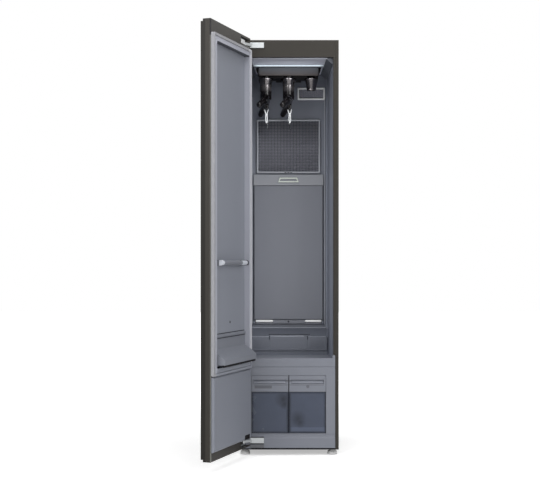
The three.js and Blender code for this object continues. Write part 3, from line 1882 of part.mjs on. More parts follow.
function hangerBody() {
  const bore = nozzleRadius + hangerFit;
  const throat = nozzleRadius - nozzleRingDepth + hangerFit;
  const tip = nozzleTipRadius + 2 * hangerFit;
  const neck = turned(
    [
      [0, -hangerNeckLength],
      [hangerNeckRadius - hangerFit, -hangerNeckLength],
      [hangerNeckRadius + hangerFit, -hangerThroat],
      [hangerCollarRadius, -hangerCollarHeight],
      [hangerCollarRadius, -hangerFit],
      [hangerCollarRadius - hangerFit, 0],
      [0, 0],
    ],
    hangerNeckSides,
  );
  const socket = turned(
    [
      [0, nozzleBelow - hangerFit],
      [tip, nozzleBelow - hangerFit],
      [throat, grooveLow + nozzleTop - hangerTop],
      [bore, grooveHigh + nozzleTop - hangerTop],
      [bore, overrun],
      [0, overrun],
    ],
    hangerNeckSides,
  );
  const post = across(
    roundedOutline(
      [-clipPost, clipPost],
      [clipBarZ - clipPostRound, -hangerNeckLength],
      clipPostRound,
    ),
    clipBarOffset - clipPostRound,
    clipBarOffset + clipPostRound,
  );
  const barHole = rod(
    'y',
    clipBarRadius + seat,
    -clipPost - overrun,
    clipPost + overrun,
    [clipBarOffset, clipBarZ],
  );
  const slots = [-1, 1].map((side) => {
    const y = side * hangerSlotPlaceShare * hangerSpan;
    const z = -hangerNeckLength - hangerDrop * hangerSlotPlaceShare ** hangerDropPower;
    const top = z + THREE.MathUtils.lerp(hangerMidTall, hangerTipTall, hangerSlotPlaceShare);
    return block(
      [-hangerBend, hangerMidThick],
      [y - hangerSlotWidth / 2, y + hangerSlotWidth / 2],
      [top - hangerSlotDepth - hangerSlotHeight, top - hangerSlotDepth],
    );
  });
  return cut(join(neck, shoulders(), post), socket, barHole, ...slots);
}

// One clip: x is across the jaws, and the pin lies in the fixed jaw's sheet
const clipPinX = clipBarOffset + clipGap + clipSheet / 2;

function fixedJaw(y) {
  const half = clipWidth / 2 - 2 * clipEarSheet;
  const x0 = clipBarOffset + clipGap;
  const x1 = x0 + clipSheet;
  const spread = x0 + clipLeverSpread;
  const leverTop = clipPivotZ + clipLeverHeight;
  const strap = block([x0, x1], [y - half / 2, y + half / 2], [clipPivotZ, clipBarZ]);
  const jaw = inward(
    [
      [x0 + clipLip, clipPivotZ - clipJawLength],
      [x0, clipPivotZ - clipJawLength + clipLip],
      [x0, clipPivotZ],
      [spread, leverTop],
      [spread + clipSheet, leverTop - clipSheet],
      [x1, clipPivotZ - clipSheet],
      [x1, clipPivotZ - clipJawLength + clipLip + clipSheet],
      [x0 + clipLip + clipSheet, clipPivotZ - clipJawLength],
    ],
    y - half,
    y + half,
  );
  const pin = rod(
    'y',
    clipPinRadius,
    y - clipWidth / 2 - clipEarSheet / 2,
    y + clipWidth / 2 + clipEarSheet / 2,
    [clipPinX, clipPivotZ],
    8,
  );
  return join(strap, jaw, pin);
}

function clipBar() {
  const reach = clipReach + clipWidth / 2;
  const bar = rod('y', clipBarRadius, -reach, reach, [clipBarOffset, clipBarZ], 12);
  return join(bar, fixedJaw(-clipReach), fixedJaw(clipReach));
}

// Moving jaw, drawn round its own pin, with an ear at each end
function movingJaw() {
  const half = clipWidth / 2;
  const x0 = clipBarOffset - clipPinX;
  const x1 = x0 - clipSheet;
  const spread = x0 - clipLeverSpread;
  const jaw = inward(
    [
      [x0 - clipLip, -clipJawLength],
      [x0 - clipLip - clipSheet, -clipJawLength],
      [x1, -clipJawLength + clipLip + clipSheet],
      [x1, -clipSheet],
      [spread - clipSheet, clipLeverHeight - clipSheet],
      [spread, clipLeverHeight],
      [x0, clipGap],
      [x0, -clipJawLength + clipLip],
    ],
    -half,
    half,
  );
  const ears = [-1, 1].map((side) => {
    const outer = side * half;
    const inner = side * (half - clipEarSheet);
    const range = [Math.min(outer, inner), Math.max(outer, inner)];
    return join(
      rod('y', clipEarRadius, range[0], range[1], [0, 0], 10),
      block([x1, 0], range, [-clipEarRadius, clipEarRadius]),
    );
  });
  const hole = rod('y', clipPinRadius + clipPinFit, -half - overrun, half + overrun, [0, 0], 8);
  const room = block(
    [-clipPinX + clipBarOffset, clipEarRadius + overrun],
    [-half + clipEarSheet, half - clipEarSheet],
    [-clipEarRadius - overrun, clipEarRadius + overrun],
  );
  return cut(join(jaw, ...ears), hole, room);
}

function addHanger(name, place) {
  const hanger = new THREE.Group();
  hanger.position.set(place * nozzlePitch, nozzleFromFront, hangerTop);
  cabinet.add(hanger);
  piece(hanger, `${name}_body`, hangerBody(), blackPlastic);
  piece(hanger, `${name}_clip_bar`, clipBar(), steel);
  piece(hanger, `${name}_jaw_front`, movingJaw(), steel, [clipPinX, -clipReach, clipPivotZ]);
  piece(hanger, `${name}_jaw_back`, movingJaw(), steel, [clipPinX, clipReach, clipPivotZ]);
}
addHanger('hanger_left', -1);
addHanger('hanger_middle', 0);

// Origin on the floor under the middle of the whole box
const box = new THREE.Box3().setFromObject(assembly, true);
cabinet.position.set(-(box.min.x + box.max.x) / 2, -(box.min.y + box.max.y) / 2, -box.min.z);

export default assembly;
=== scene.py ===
"""Clothes care steam cabinet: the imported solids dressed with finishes, soft edges and detail."""

import json
import math

import bmesh
import bpy
from mathutils import Matrix, Vector


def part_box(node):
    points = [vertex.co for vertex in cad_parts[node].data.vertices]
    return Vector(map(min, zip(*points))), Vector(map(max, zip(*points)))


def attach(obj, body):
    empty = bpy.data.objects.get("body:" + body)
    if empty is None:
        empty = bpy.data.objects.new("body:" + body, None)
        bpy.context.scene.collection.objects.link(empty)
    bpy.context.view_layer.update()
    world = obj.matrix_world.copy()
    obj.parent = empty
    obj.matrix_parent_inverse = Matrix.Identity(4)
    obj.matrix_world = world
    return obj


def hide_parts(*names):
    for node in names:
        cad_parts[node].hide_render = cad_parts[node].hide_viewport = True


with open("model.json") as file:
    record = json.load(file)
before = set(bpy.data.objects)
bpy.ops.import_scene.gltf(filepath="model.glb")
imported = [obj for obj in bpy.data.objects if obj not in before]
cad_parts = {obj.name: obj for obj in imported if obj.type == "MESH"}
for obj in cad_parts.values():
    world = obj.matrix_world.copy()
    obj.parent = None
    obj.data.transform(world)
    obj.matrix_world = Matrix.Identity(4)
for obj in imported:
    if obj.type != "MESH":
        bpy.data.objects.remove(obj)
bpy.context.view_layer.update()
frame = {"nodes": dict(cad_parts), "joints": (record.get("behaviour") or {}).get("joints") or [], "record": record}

bl_info = {
    "name": "Clothes care cabinet",
    "version": (1, 0, 0),
    "blender": (4, 5, 0),
    "location": "3D View > Sidebar > Cabinet",
    "description": "Dresses the solids of a clothes care steam cabinet",
    "category": "Object",
}

MM = 0.001
BODY_OF = {
    node: body
    for body, nodes in frame["record"]["behaviour"]["bodies"].items()
    for node in nodes
}
SLOT_OF = {part["node"]: part["material_slot"] for part in frame["record"]["subparts"]}
JOINTS = {joint["name"]: joint for joint in frame["joints"]}


def box(node):
    """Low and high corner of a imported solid, in millimetres."""
    low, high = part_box(node)
    return low / MM, high / MM


def pivot_of(joint):
    """A point on a joint's axis, in millimetres."""
    return Vector(JOINTS[joint]["pos_m"]) / MM


# The open door: distances from its hung edge, out of its inner face and up

DOOR_PIVOT = pivot_of("door_hinge")
DOOR_TURN = Matrix.Rotation(-math.radians(JOINTS["door_hinge"]["range_deg"][1]), 3, "Z")
PIVOT_INSET = 22.0
PIVOT_DEPTH = 25.0


def on_door(along, out, up):
    """A point of the open door in the room."""
    turned = DOOR_TURN @ Vector((along - PIVOT_INSET, out + PIVOT_DEPTH, 0.0))
    return Vector((turned.x + DOOR_PIVOT.x, turned.y + DOOR_PIVOT.y, up))


def from_door(point):
    """The three distances of a point in the room."""
    local = DOOR_TURN.inverted() @ (point - DOOR_PIVOT)
    return local.x + PIVOT_INSET, local.y - PIVOT_DEPTH, point.z


# Shader expressions


def feed(tree, socket, value):
    """Links a socket to a wire, or sets it to a plain value."""
    if isinstance(value, Wire):
        tree.links.new(value.socket, socket)
    else:
        socket.default_value = value


def maths(operation, reflected=False):
    """A method that joins its object and the other values in one Math node."""

    def method(self, *others):
        values = (*others, self) if reflected else (self, *others)
        node = self.tree.nodes.new("ShaderNodeMath")
        node.operation = operation
        for socket, value in zip(node.inputs, values):
            feed(self.tree, socket, value)
        return Wire(self.tree, node.outputs[0])

    return method


class Wire:
    """An output socket that can stand in a Python expression on values."""

    def __init__(self, tree, socket):
        self.tree = tree
        self.socket = socket

    __add__ = maths("ADD")
    __radd__ = maths("ADD", True)
    __sub__ = maths("SUBTRACT")
    __rsub__ = maths("SUBTRACT", True)
    __mul__ = maths("MULTIPLY")
    __rmul__ = maths("MULTIPLY", True)
    __truediv__ = maths("DIVIDE")
    __rtruediv__ = maths("DIVIDE", True)
    __pow__ = maths("POWER")
    __mod__ = maths("FLOORED_MODULO")
    __gt__ = maths("GREATER_THAN")
    __lt__ = maths("LESS_THAN")
    __abs__ = maths("ABSOLUTE")
    least = maths("MINIMUM")
    most = maths("MAXIMUM")

    def clamped(self):
        return self.least(1.0).most(0.0)


class Finish:
    """A material with one Principled shader and the nodes that feed it."""

    def __init__(self, name, **constants):
        self.material = bpy.data.materials.new(name + "_finish")
        self.material.use_nodes = True
        self.tree = self.material.node_tree
        nodes = {node.type: node for node in self.tree.nodes}
        self.shader = nodes["BSDF_PRINCIPLED"]
        self.output = nodes["OUTPUT_MATERIAL"]
        for key, value in constants.items():
            self.put(key.replace("_", " "), value)

    def put(self, name, value):
        """Feeds or sets one of the shader's sockets."""
        feed(self.tree, self.shader.inputs[name], value)

    def node(self, kind, settings=None, sockets=None, take=0):
        made = self.tree.nodes.new(kind)
        for key, value in (settings or {}).items():
            setattr(made, key, value)
        for key, value in (sockets or {}).items():
            feed(self.tree, made.inputs[key], value)
        return Wire(self.tree, made.outputs[take])

    def place(self):
        return self.node("ShaderNodeTexCoord", take="Object")

    def axis(self, letter):
        """One coordinate of the surface, in millimetres."""
        return self.node("ShaderNodeSeparateXYZ", None, {0: self.place()}, letter) / MM

    def stretched(self, scale):
        sockets = {"Vector": self.place(), "Scale": scale}
        return self.node("ShaderNodeMapping", {"vector_type": "POINT"}, sockets)

    def noise(self, scale, detail=3.0, roughness=0.5, vector=None):
        sockets = {"Vector": vector or self.place(), "Scale": scale}
        sockets.update({"Detail": detail, "Roughness": roughness})
        return self.node("ShaderNodeTexNoise", None, sockets)

    def cell_tone(self, scale, channel):
        """A tone for each cell: one channel of the cells' random colours."""
        sockets = {"Vector": self.place(), "Scale": scale}
        colour = self.node("ShaderNodeTexVoronoi", None, sockets, "Color")
        return self.node("ShaderNodeSeparateColor", None, {0: colour}, channel)

    def mixed(self, factor, first, second):
        sockets = {0: factor, 6: first, 7: second}
        return self.node("ShaderNodeMix", {"data_type": "RGBA"}, sockets, 2)

    def colour(self, value):
        self.tone = value
        self.put("Base Color", value)

    def toned(self, factor, colour, dark, light):
        """Spreads a colour between two shades of it."""
        self.colour(self.mixed(factor, shade(colour, dark), shade(colour, light)))

    def zoned(self, *zones):
        """Gives parts of the surface other colours; a zone is a factor and a colour."""
        for factor, colour in zones:
            self.tone = self.mixed(factor, self.tone, shade(colour))
        self.colour(self.tone)
        return self

    def door_place(self):
        """Distance from the open door's hung edge, and out of its inner face."""
        x, y = self.axis("X") - DOOR_PIVOT.x, self.axis("Y") - DOOR_PIVOT.y
        ahead, aside = DOOR_TURN.col[0], DOOR_TURN.col[1]
        along = x * ahead.x + y * ahead.y + PIVOT_INSET
        out = x * aside.x + y * aside.y - PIVOT_DEPTH
        return along, out

    def rough(self, value, factor, spread):
        """A roughness that varies with a factor."""
        self.put("Roughness", value + (factor - 0.5) * spread)

    def bump(self, height, distance, strength=1.0):
        """Relief from a height; the distance is in millimetres."""
        sockets = {"Height": height, "Distance": distance * MM, "Strength": strength}
        normal = self.node("ShaderNodeBump", None, sockets, "Normal")
        self.put("Normal", normal)


def shade(colour, factor=1.0):
    return tuple(min(1.0, part * factor) for part in colour[:3]) + (1.0,)


# Kinds of finish


def moulded(name, colour, roughness=0.45, specular=0.4):
    """Satin moulded plastic: a fine eroded grain and a slow change of tone."""
    finish = Finish(name, Specular_IOR_Level=specular)
    slow, fine = finish.noise(7.0, 2.0), finish.noise(900.0, 3.0, 0.6)
    finish.toned(slow * 0.75 + fine * 0.25, colour, 0.95, 1.05)
    finish.rough(roughness + (fine - 0.5) * 0.12, slow, 0.06)
    finish.bump(finish.noise(1400.0, 4.0, 0.65), 0.04)
    return finish


def painted(name, colour):
    """Satin metallic paint: tiny flakes in a dark coat with a faint ripple."""
    finish = Finish(name, Metallic=0.1, Specular_IOR_Level=0.2)
    flake, slow = finish.cell_tone(2600.0, "Red"), finish.noise(4.0, 2.0)
    finish.toned(flake * 0.45 + slow * 0.55, colour, 0.86, 1.16)
    finish.rough(0.42, flake, 0.1)
    finish.bump(finish.noise(260.0, 2.0), 0.03, 0.6)
    return finish


def glossy(name, colour, roughness):
    """Smooth moulded plastic with a light orange peel."""
    finish = Finish(name, Specular_IOR_Level=0.3)
    smear = finish.noise(30.0, 3.0)
    finish.toned(smear, colour, 0.85, 1.2)
    finish.rough(roughness, smear, 0.1)
    finish.bump(finish.noise(180.0, 2.0), 0.04, 0.5)
    return finish


def brushed(name, colour, roughness):
    """Metal brushed from left to right."""
    finish = Finish(name, Metallic=1.0)
    lines = finish.noise(1.0, 2.0, 0.5, finish.stretched((3.0, 900.0, 900.0)))
    finish.toned(lines, colour, 0.85, 1.12)
    finish.rough(roughness, lines, 0.16)
    finish.bump(lines, 0.01, 0.5)
    return finish


def zinced(name, colour):
    """Hot zinc on sheet steel: flat crystals of several tones."""
    finish = Finish(name, Metallic=1.0)
    crystal, dull = finish.cell_tone(95.0, "Green"), finish.noise(40.0, 4.0)
    finish.toned(crystal * 0.7 + dull * 0.3, colour, 0.72, 1.3)
    finish.rough(0.44, crystal, 0.2)
    finish.bump(dull, 0.03, 0.4)
    return finish


def cast(name, colour):
    """Thick paint over a rough casting."""
    finish = Finish(name, Specular_IOR_Level=0.4)
    rough = finish.noise(320.0, 5.0, 0.6)
    finish.toned(rough, colour, 0.8, 1.5)
    finish.rough(0.42, rough, 0.2)
    finish.bump(rough, 0.25, 0.7)
    return finish


def rubber(name, colour):
    """Soft seal with a dusty, matt skin."""
    finish = Finish(name, Specular_IOR_Level=0.25)
    dust = finish.noise(60.0, 4.0)
    finish.toned(dust, colour, 0.88, 1.12)
    finish.rough(0.62, dust, 0.2)
    finish.bump(finish.noise(1100.0, 2.0), 0.04, 0.7)
    return finish


def tinted(name, colour):
    """Dark glass, printed black behind: polished in front."""
    finish = Finish(name, Specular_IOR_Level=0.5, Coat_Weight=0.6, Coat_Roughness=0.03)
    wave = finish.noise(3.0, 1.0)
    finish.toned(wave, colour, 0.85, 1.15)
    finish.rough(0.105, wave, 0.05)
    finish.bump(finish.noise(9.0, 1.0), 0.06, 0.3)
    return finish


def smoked(name, colour, node, spots, shelf_tone):
    """Smoked plastic of a tank: painted shade along its window's edges, and dark over the fittings inside."""
    finish = Finish(name, Specular_IOR_Level=0.35, Alpha=0.97)
    haze = finish.noise(16.0, 2.0)
    x, z = finish.axis("X"), finish.axis("Z")
    low, high = box(node)
    top = box(node + "_grip")[0].z
    inside = (x - low.x).least(high.x - x).least((z - low.z).least(top - z))
    # Painted shade along the window's edges
    dark = (1.0 - (inside * 0.085).clamped()) * 0.9
    for spot_x, spot_z, reach in spots:
        away = ((x - spot_x) ** 2.0 + (z - spot_z) ** 2.0) ** 0.5
        dark = dark.most((1.0 - away / reach).most(0.0) * haze * 1.9)
    body = finish.mixed(haze, shade(colour, 0.9), shade(colour, 1.12))
    if shelf_tone:
        shelf = (z > low.z + 7.0) * (z < low.z + 26.0) * shelf_tone
        body = finish.mixed(shelf, body, shade(colour, 2.2))
    finish.colour(finish.mixed(dark.least(1.0), body, shade(colour, 0.28)))
    finish.rough(0.26, haze, 0.08)
    finish.bump(finish.noise(90.0, 2.0), 0.03, 0.4)
    return finish


def lit(name, colour):
    """A frosted light strip, brighter over each lamp behind it and fading at its ends."""
    finish = Finish(name, Specular_IOR_Level=0.3, Emission_Strength=0.78)
    fine = finish.noise(500.0, 2.0)
    finish.toned(fine, colour, 0.28, 0.3)
    low, high = box("light_bar")
    along = finish.axis("X")
    between = (abs(along % 25.0 - 12.5) * 0.08).least(1.0)
    fade = ((along - low.x).least(high.x - along) * 0.045).clamped()
    glow = finish.mixed(between, shade(colour), shade(colour, 0.93))
    glow = finish.mixed(fade, shade(colour, 0.12), glow)
    finish.put("Emission Color", glow)
    finish.rough(0.5, fine, 0.1)
    return finish


def pleated(name, colour):
    """Folded filter paper, with painted shade in the folds."""
    finish = Finish(name, Specular_IOR_Level=0.15)
    fold = (abs(finish.axis("X") % 4.9 - 2.45) * 0.38).least(1.0)
    fibre = finish.noise(700.0, 4.0, 0.7)
    finish.toned(fold * 0.7 + fibre * 0.3, colour, 0.7, 1.2)
    finish.rough(0.85, fibre, 0.2)
    finish.bump(fibre, 0.1, 0.8)
    return finish


# Finishes with zones


def pad_finish(name, c):
    """Air supply box's pad: brown at its foot, grey at its top as painted light from the light bar above."""
    finish = Finish(name, Specular_IOR_Level=0.3)
    low, high = box("air_manifold")
    foot, top = low.z + 12.0, high.z - 8.0
    fine = finish.noise(700.0, 3.0, 0.6)
    level = ((finish.axis("Z") - foot) * (1.0 / (top - foot))).clamped()
    level = (level + (fine - 0.5) * 0.2).most(0.0)
    finish.colour(finish.mixed(level, shade(c.brown), shade(c.pad)))
    finish.rough(0.5, fine, 0.12)
    finish.bump(fine, 0.04)
    return finish


def ceiling_finish(name, c):
    """Moulding lightened as painted light, with painted shade beyond the sloping panel's ends."""
    low, high = box("chamber_ceiling")
    finish = moulded(name, shade(c.border, 1.75))
    away = abs(finish.axis("X") - (low.x + high.x) / 2)
    return finish.zoned((((away - 171.0) * 0.5).clamped(), shade(c.liner, 0.6)))


def rod_finish(name, c):
    """A dull bar with bright collars and painted shade at its ends, on the open door."""
    finish = moulded(name, c.rod, 0.4)
    along, out = finish.door_place()
    free_end = along > 366.0
    collar = ((along > 112.0) * (along < 168.0)).most(free_end * (out > 14.0))
    root_shade = (along < 112.0).most(free_end * (out < 6.0))
    return finish.zoned((root_shade, c.shadow), (collar, c.bracket))


def seal_finish(name, c):
    """Door seal: paler along its hung side as painted light, darker along its foot as painted shade under the
    flap.
    """
    finish = rubber(name, c.gasket)
    along, out = finish.door_place()
    level = box("door_gasket")[0].z + 26.0
    foot = (finish.axis("Z") < level) * (along < 424.0)
    return finish.zoned((along < 60.0, shade(c.gasket, 1.6)), (foot, shade(c.recess, 1.1)))


def border_finish(name, c):
    """Door liner's border, with painted shade below the drip flap."""
    finish = moulded(name, c.border)
    along, out = finish.door_place()
    foot = (finish.axis("Z") < 434.0) * (along < 408.0)
    return finish.zoned((foot, shade(c.recess, 1.25)))


def frame_finish(name, c):
    """Door frame: a pale strip along its free edge, under the top cap's dark joint."""
    finish = painted(name, c.bronze)
    along, out = finish.door_place()
    edge = along > 436.0
    under = finish.axis("Z") < 1782.0
    return finish.zoned(
        (edge * under * (out > -2.0), c.trim),
        (edge * (1.0 - under) * (out > -4.0), c.black),
        # Darker along the glass: partly the edge's own dark tone, partly painted shade of the gap
        (edge * (out < -23.0), shade(c.bronze, 0.5)),
    )


def neck_finish(name, c):
    """Black moulding with a bright metal sleeve that fades out downwards: a painted highlight."""
    finish = glossy(name, c.black, 0.2)
    sleeve = ((finish.axis("Z") - 1652.0) * 0.025).clamped()
    # The free nozzle is sleeve all over: a painted highlight along it
    sleeve = sleeve.most(finish.axis("X") > box("nozzle_right")[0].x)
    finish.put("Metallic", sleeve)
    return finish.zoned((sleeve, c.sleeve))


# Each moulding's colour, shade, roughness and specular level
MOULDINGS = {
    "bay": ("grey", 0.22),
    # Matt black for the air box and the base pan's front, and painted shade on the front's foot line, the hinge
    # pad and under the drip flap
    "black_matt": ("black", 1.0, 0.6, 0.1),
    "ceiling_end": ("liner", 0.7),
    "dull_mark": ("grey", 0.55),
    "edge_light": ("edge_light", 1.0),
    "filter_plastic": ("filter", 1.0),
    "flap": ("recess", 0.82),
    "foot_plastic": ("foot", 1.0),
    "grey_plastic": ("grey", 1.0),
    "hinge_cover": ("vent", 0.6, 0.35),
    "lamp_housing": ("housing", 1.0),
    "liner_plastic": ("liner", 1.0),
    "lower_panel": ("grey", 1.11),
    "net": ("net", 1.0, 0.5, 0.2),
    "outlet": ("liner", 0.78),
    "pale_handle": ("pale", 1.0),
    "plate": ("plate", 1.0),
    "plate_head": ("plate_head", 1.0),
    "rail": ("liner", 0.5),
    "recess": ("recess", 1.0),
    "recess_top": ("recess", 0.3),
    "scoop": ("grey", 1.3),
    "shadow": ("shadow", 1.0, 0.6, 0.15),
    "tank_gap": ("smoke", 0.3, 0.6, 0.1),
    "vent_rim": ("vent", 1.0),
    "wall_right": ("liner", 1.35),
    "white_cap": ("white", 1.0),
    "white_plastic": ("pump", 1.0),
}
# Roughness of each brushed metal
METALS = {"chrome": 0.24, "steel": 0.32, "dull_steel": 0.4, "aluminium": 0.35, "copper": 0.35}
# Places and reaches of the dark fittings inside the tanks
FRESH_SPOTS = ((45.0, 252.0, 42.0), (50.0, 230.0, 26.0))
DRAIN_SPOTS = ((108.0, 164.0, 40.0), (120.0, 148.0, 28.0))
OTHER_FINISHES = {
    "black_plastic": lambda name, c: glossy(name, c.black, 0.16),
    "border_plastic": border_finish,
    "bronze": lambda name, c: painted(name, c.bronze),
    "brown_plastic": pad_finish,
    "cast_black": lambda name, c: cast(name, c.casting),
    "ceiling": ceiling_finish,
    "dark_glass": lambda name, c: tinted(name, c.glass),
    "door_frame": frame_finish,
    "galvanised": lambda name, c: zinced(name, c.zinc),
    "gasket": seal_finish,
    "glass_edge": lambda name, c: painted(name, shade(c.bronze, 0.5)),
    "light_diffuser": lambda name, c: lit(name, c.light),
    "media": lambda name, c: pleated(name, c.media),
    "neck": neck_finish,
    "rod": rod_finish,
    "smoked_left": lambda name, c: smoked(name, c.smoke, "fresh_tank", FRESH_SPOTS, 0.0),
    "smoked_right": lambda name, c: smoked(name, c.smoke, "drain_tank", DRAIN_SPOTS, 0.3),
}
made_finishes = {}


def finish_of(name):
    """The finish of a slot or a place, made once."""
    c = bpy.context.scene.cabinet_colours
    if name in made_finishes:
        return made_finishes[name]
    if name in MOULDINGS:
        colour, factor, *surface = MOULDINGS[name]
        made = moulded(name, shade(getattr(c, colour), factor), *surface)
    elif name in METALS:
        made = brushed(name, getattr(c, name), METALS[name])
    else:
        made = OTHER_FINISHES[name](name, c)
    made_finishes[name] = made
    return made


# Drawing, in millimetres


def front(u, v, w):
    """Turns an outline that is drawn facing the front."""
    return Vector((u, w, v))


def facing(u, v, w):
    """Turns an outline so that its high end faces the front."""
    return Vector((u, -w, v))


def upward(u, v, w):
    """Turns an outline that is drawn from above."""
    return Vector((u, v, w))


def across(u, v, w):
    """Turns an outline that is drawn from the side."""
    return Vector((w, u, v))


def door_face(u, v, w):
    """Turns an outline that is drawn on the open door's inner face."""
    return on_door(u, w, v)


def ring(work, points):
    return [work.verts.new(point * MM) for point in points]


def skin(work, rings, capped=False):
    """Faces between rings of corners, and over both ends if capped."""
    for first, second in zip(rings, rings[1:]):
        for i in range(len(first)):
            j = (i + 1) % len(first)
            work.faces.new((first[i], first[j], second[j], second[i]))
    if capped:
        work.faces.new(rings[0][::-1])
        work.faces.new(rings[-1])


def rounded(left, right, low, high, radius, steps=6):
    """The outline of a rectangle with round corners."""
    centres = (
        (right - radius, high - radius),
        (left + radius, high - radius),
        (left + radius, low + radius),
        (right - radius, low + radius),
    )
    points = []
    for turn, (x, y) in enumerate(centres):
        for step in range(steps + 1):
            angle = math.pi / 2 * (turn + step / steps)
            points.append((x + radius * math.cos(angle), y + radius * math.sin(angle)))
    return points


def prism(work, outline, low, high, turn):
    """A closed outline drawn out from low to high."""
    ends = [ring(work, [turn(u, v, w) for u, v in outline]) for w in (low, high)]
    skin(work, ends, True)


def crowned(work, outline, low, high, turn, edge, steps=4):
    """A prism whose high end is rounded over by edge."""
    middle_u = sum(u for u, v in outline) / len(outline)
    middle_v = sum(v for u, v in outline) / len(outline)
    half_u = max(abs(u - middle_u) for u, v in outline)
    half_v = max(abs(v - middle_v) for u, v in outline)
    levels = [(0.0, low)]
    for step in range(steps + 1):
        angle = math.pi / 2 * step / steps
        levels.append((edge * (1.0 - math.cos(angle)), high - edge + edge * math.sin(angle)))
    rings = []
    for inset, level in levels:
        share_u, share_v = 1.0 - inset / half_u, 1.0 - inset / half_v
        points = [
            turn(middle_u + (u - middle_u) * share_u, middle_v + (v - middle_v) * share_v, level)
            for u, v in outline
        ]
        rings.append(ring(work, points))
    skin(work, rings, True)


def band(work, outer, inner, low, high, turn):
    """A frame between two outlines with as many points."""
    corners = ((outer, low), (outer, high), (inner, high), (inner, low))
    rings = [ring(work, [turn(u, v, w) for u, v in outline]) for outline, w in corners]
    skin(work, rings + [rings[0]])


def lathe(work, profile, sides, place, turn=upward):
    """A profile of radius and height, turned about the axis through place."""
    angles = [2 * math.pi * i / sides for i in range(sides)]
    rings = []
    for radius, level in profile:
        points = [
            place + turn(radius * math.cos(angle), radius * math.sin(angle), level)
            for angle in (angles if radius > 0.0 else angles[:1])
        ]
        rings.append(ring(work, points))
    for first, second in zip(rings, rings[1:]):
        for i in range(sides):
            j = (i + 1) % sides
            corners = [first[i % len(first)], first[j % len(first)]]
            corners += [second[j % len(second)], second[i % len(second)]]
            unique = list(dict.fromkeys(corners))
            if len(unique) > 2:
                work.faces.new(unique)


# A screw head's profile: shares of its radius and of its height
SCREW_SHARES = ((0.0, 0.25), (0.3, 0.25), (0.36, 1.0), (0.7, 0.85), (0.95, 0.4), (1.0, 0.0))


def screw(work, place, radius, height, turn):
    """A domed screw head with a hollow drive; turn gives the side that it faces."""
    profile = [(radius * out, height * up) for out, up in SCREW_SHARES]
    lathe(work, profile, 20, place, turn)


def tube(work, points, radius, sides=8):
    """A round wire through points."""
    angles = [2 * math.pi * i / sides for i in range(sides)]
    rings = []
    side = None
    for i, point in enumerate(points):
        ahead = (points[min(i + 1, len(points) - 1)] - points[max(i - 1, 0)]).normalized()
        side = side or ahead.orthogonal()
        side = (side - ahead * side.dot(ahead)).normalized()
        other = ahead.cross(side)
        spokes = [math.cos(angle) * side + math.sin(angle) * other for angle in angles]
        rings.append(ring(work, [point + radius * spoke for spoke in spokes]))
    skin(work, rings, True)


def slab(work, left, right, low, high, back, face, turn, edge=0.0):
    """A block between a back and a face level, with its face rounded over by edge."""
    if edge:
        crowned(work, rounded(left, right, low, high, edge * 1.2, 4), back, face, turn, edge)
    else:
        outline = [(left, low), (right, low), (right, high), (left, high)]
        prism(work, outline, back, face, turn)


def lattice(work, left, right, low, high, pitch, bar, level):
    """Crossed bars that face the front, one layer just over the other."""
    for start, end, first, last, swap in (
        (left, right, low, high, False),
        (low, high, left, right, True),
    ):
        count = max(2, round((end - start) / pitch))
        for i in range(1, count):
            middle = start + (end - start) * i / count
            sides = (middle - bar / 2, middle + bar / 2)
            bounds = (first, last, *sides) if swap else (*sides, first, last)
            face = level - bar * 0.4 if swap else level
            slab(work, *bounds, face - bar * 0.6, face, facing)


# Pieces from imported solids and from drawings


def packed(node):
    """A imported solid's mesh with its flat faces joined."""
    work = bmesh.new()
    work.from_mesh(frame["nodes"][node].data)
    bmesh.ops.remove_doubles(work, verts=work.verts, dist=1e-6)
    flat = math.radians(0.6)
    bmesh.ops.dissolve_limit(work, angle_limit=flat, verts=work.verts, edges=work.edges)
    return work


def eased(work, width, segments=2):
    """Rounds the sharp edges of a mesh; the width is in millimetres."""
    least = math.radians(30.0)
    bmesh.ops.bevel(
        work,
        geom=[e for e in work.edges if e.is_manifold and e.calc_face_angle(0.0) > least],
        offset=width * MM,
        segments=segments,
        profile=0.5,
        affect="EDGES",
        clamp_overlap=False,
        loop_slide=True,
    )


def shown(name, work, finish, node, replaces=False, weighted=True):
    """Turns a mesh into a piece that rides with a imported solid, or stands in its place."""
    bmesh.ops.recalc_face_normals(work, faces=work.faces)
    mesh = bpy.data.meshes.new(name)
    for face in work.faces:
        face.smooth = True
    work.to_mesh(mesh)
    work.free()
    piece = bpy.data.objects.new(name, mesh)
    bpy.context.scene.collection.objects.link(piece)
    mesh.materials.append(finish_of(finish).material)
    if weighted:
        piece.modifiers.new("Even normals", "WEIGHTED_NORMAL").keep_sharp = True
    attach(piece, BODY_OF[node])
    if replaces:
        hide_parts(node)
    return piece


def replaced(node, work, finish=None, weighted=True):
    """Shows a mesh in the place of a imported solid."""
    finish = finish or SLOT_OF[node]
    return shown(node + "_shown", work, finish, node, True, weighted)


def softened(node, width, finish=None, segments=2):
    """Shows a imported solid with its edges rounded."""
    work = packed(node)
    if width:
        eased(work, width, segments)
    return replaced(node, work, finish)


def smoothed(node, finish):
    """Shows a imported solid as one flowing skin, without its facets."""
    piece = replaced(node, packed(node), finish, weighted=False)
    remesh = piece.modifiers.new("Skin", "REMESH")
    remesh.mode = "VOXEL"
    remesh.voxel_size = 1.6 * MM
    remesh.use_smooth_shade = True
    smooth = piece.modifiers.new("Flow", "SMOOTH")
    smooth.iterations = 6
    smooth.factor = 0.5
    graph = bpy.context.evaluated_depsgraph_get()
    graph.update()
    mesh = bpy.data.meshes.new_from_object(piece.evaluated_get(graph))
    piece.modifiers.clear()
    piece.data = mesh


